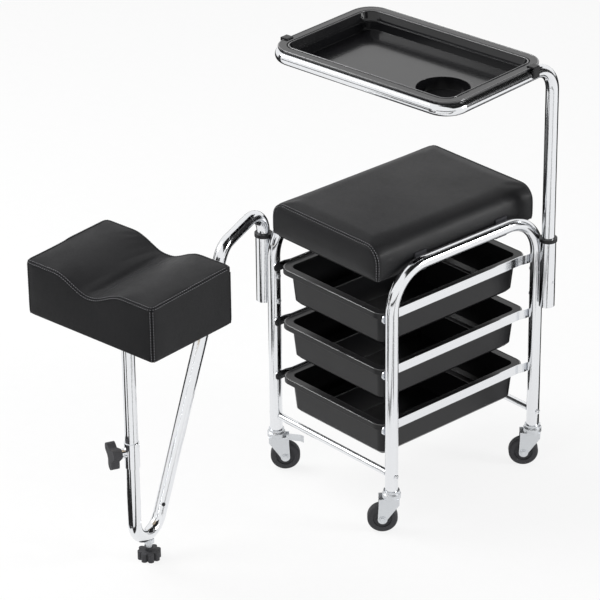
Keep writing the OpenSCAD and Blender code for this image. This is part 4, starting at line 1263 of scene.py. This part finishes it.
@dataclass
class SeatCushion(Cushion):
    """The seat: one panel over the top and both long sides, and a flat panel at each end.

    Attributes:
        width: Side to side.
        length: Front to back.
        height: Foot to crown.
        roll: Radius of the long upper edges.
        edge: Radius of the other edges.
        seam_foot: How far up the end seams start.
    """

    width: float = 261.2 * MM
    length: float = 362.0 * MM
    height: float = 67.0 * MM
    roll: float = 28.0 * MM
    edge: float = 7.0 * MM
    seam_foot: float = 3.0 * MM

    def block(self) -> bmesh.types.BMesh:
        """Returns a box with rolled long upper edges."""
        work = self.cuboid(self.width, self.length, self.height)
        upper = [
            edge for edge in work.edges
            if all(vertex.co.z > self.height / 2 for vertex in edge.verts) and runs(edge, "y")
        ]
        round_over(work, upper, self.roll, segments=8)
        sharp = [e for e in work.edges if e.calc_face_angle(0.0) > SHARP_ANGLE]
        round_over(work, sharp, self.edge, segments=3)
        return work

    def seams(self) -> list[Seam]:
        """Returns the seams round the end panels, from foot over the top to foot."""
        inset = self.shrink + 0.3 * self.edge
        half_x, top = self.width / 2 - inset, self.height - inset
        made = []
        for end in (-1, 1):
            across = end * (self.length / 2 - inset)
            hub = Vector((half_x - self.roll, across, top - self.roll))
            turns = [math.pi / 2 * step / 10 for step in range(11)]
            right = [
                hub + Vector((math.cos(turn), 0, math.sin(turn))) * self.roll for turn in turns
            ]
            left = [Vector((-point.x, across, point.z)) for point in reversed(right)]
            feet = [Vector((side * half_x, across, self.seam_foot)) for side in (1, -1)]
            line = spaced([feet[0], *right, *left, feet[1]], self.step)
            middle = Vector((0.0, across, top - self.roll))
            sides = []
            for point in line:
                inward = (middle - point) * Vector((1, 0, 1))
                on_side = abs(point.x) >= half_x - 0.5 * MM
                inward.z = 0.0 if on_side else min(inward.z, 0.0)
                if abs(point.x) < half_x - self.roll:
                    inward.x = 0.0
                sides.append((inward.normalized(), Vector((0.0, -float(end), 0.0))))
            made.append(Seam(line, sides))
        return made

    def bounded(self, point: Vector) -> Vector:
        """Returns a point kept off the side tubes and the seat board."""
        return Vector((clamped(point.x, self.width / 2), point.y, max(point.z, self.foot)))


@dataclass
class FootRest(Cushion):
    """The foot rest: a boxed pad with a channel for the leg across it.

    Attributes:
        length: Along its long side.
        width: Along its short side.
        height: Foot to its raised ends.
        dip: Depth of the channel.
        dip_width: Width of the channel.
        corner: Radius of its upright edges.
        full: How much the foam fills out the back of the top.
        cuts: Steps of the channel.
        border: Width of the top that its own side of the seam is drawn in from.
        seam_top: How far below the top the corner seams start.
        seam_foot: How far up they end.
    """

    length: float = 276.0 * MM
    width: float = 186.0 * MM
    height: float = 98.0 * MM
    dip: float = 23.0 * MM
    dip_width: float = 150.0 * MM
    corner: float = 6.0 * MM
    full: float = 7.0 * MM
    cuts: int = 24
    border: float = 12.0 * MM
    seam_top: float = 5.0 * MM
    seam_foot: float = 3.0 * MM

    def top(self, along: float, across: float) -> float:
        """Returns the height of the top at a place along and across the pad."""
        fall = 0.0
        if abs(along) < self.dip_width / 2:
            fall = 0.5 + 0.5 * math.cos(2 * math.pi * along / self.dip_width)
        rise = self.full * (0.5 + across / self.width)
        return self.height - self.shrink - self.dip * fall + rise

    def block(self) -> bmesh.types.BMesh:
        """Returns a box whose top follows the channel."""
        work = self.cuboid(self.length, self.width, self.height)
        round_over(work, [e for e in work.edges if runs(e, "z")], self.corner, segments=3)
        for step in range(self.cuts + 1):
            cut = (step / self.cuts - 0.5) * self.dip_width
            geom = [*work.verts, *work.edges, *work.faces]
            bmesh.ops.bisect_plane(work, geom=geom, plane_co=(cut, 0, 0), plane_no=(1, 0, 0))
        for vertex in work.verts:
            if vertex.co.z > self.height / 2:
                vertex.co.z = self.top(vertex.co.x, vertex.co.y)
        return work

    def seams(self) -> list[Seam]:
        """Returns the seam round the top and the four down the corners."""
        half_x, half_y = self.length / 2 - self.shrink, self.width / 2 - self.shrink
        line = spaced(rounded((half_x, half_y), self.corner, steps=4), self.step, closed=True)
        deep_x, deep_y = half_x - self.border, half_y - self.border
        sides = []
        for point in line:
            point.z = self.top(point.x, point.y)
            inner = Vector((clamped(point.x, deep_x), clamped(point.y, deep_y), point.z))
            sides.append(((inner - point).normalized(), DOWN))
        made = [Seam(line, sides, closed=True)]
        drawn_in = self.corner * 0.3
        seam_head = self.height - self.shrink - self.seam_top
        for right, back in QUARTERS:
            at = Vector((right * (half_x - drawn_in), back * (half_y - drawn_in), 0.0))
            upright = spaced([at + UP * seam_head, at + UP * self.seam_foot], self.step)
            ways = (Vector((-right, 0, 0)), Vector((0, -back, 0)))
            made.append(Seam(upright, [ways] * len(upright)))
        return made


def main() -> None:
    """Builds the studio and every piece of the stool."""
    logging.basicConfig(level=logging.INFO, format="%(name)s: %(message)s")
    Studio().build()
    dress_cad()
    SeatCushion(
        "seat_pad", "seat_cushion", "trolley", SEAT_LEATHER, voxel=6.0 * MM, cap=2.0 * MM
    ).make()
    FootRest("foot_rest", "pad_cushion", "pad", PAD_LEATHER, turn=7.0).make()
    Rims().make()


if __name__ == "__main__":
    main()
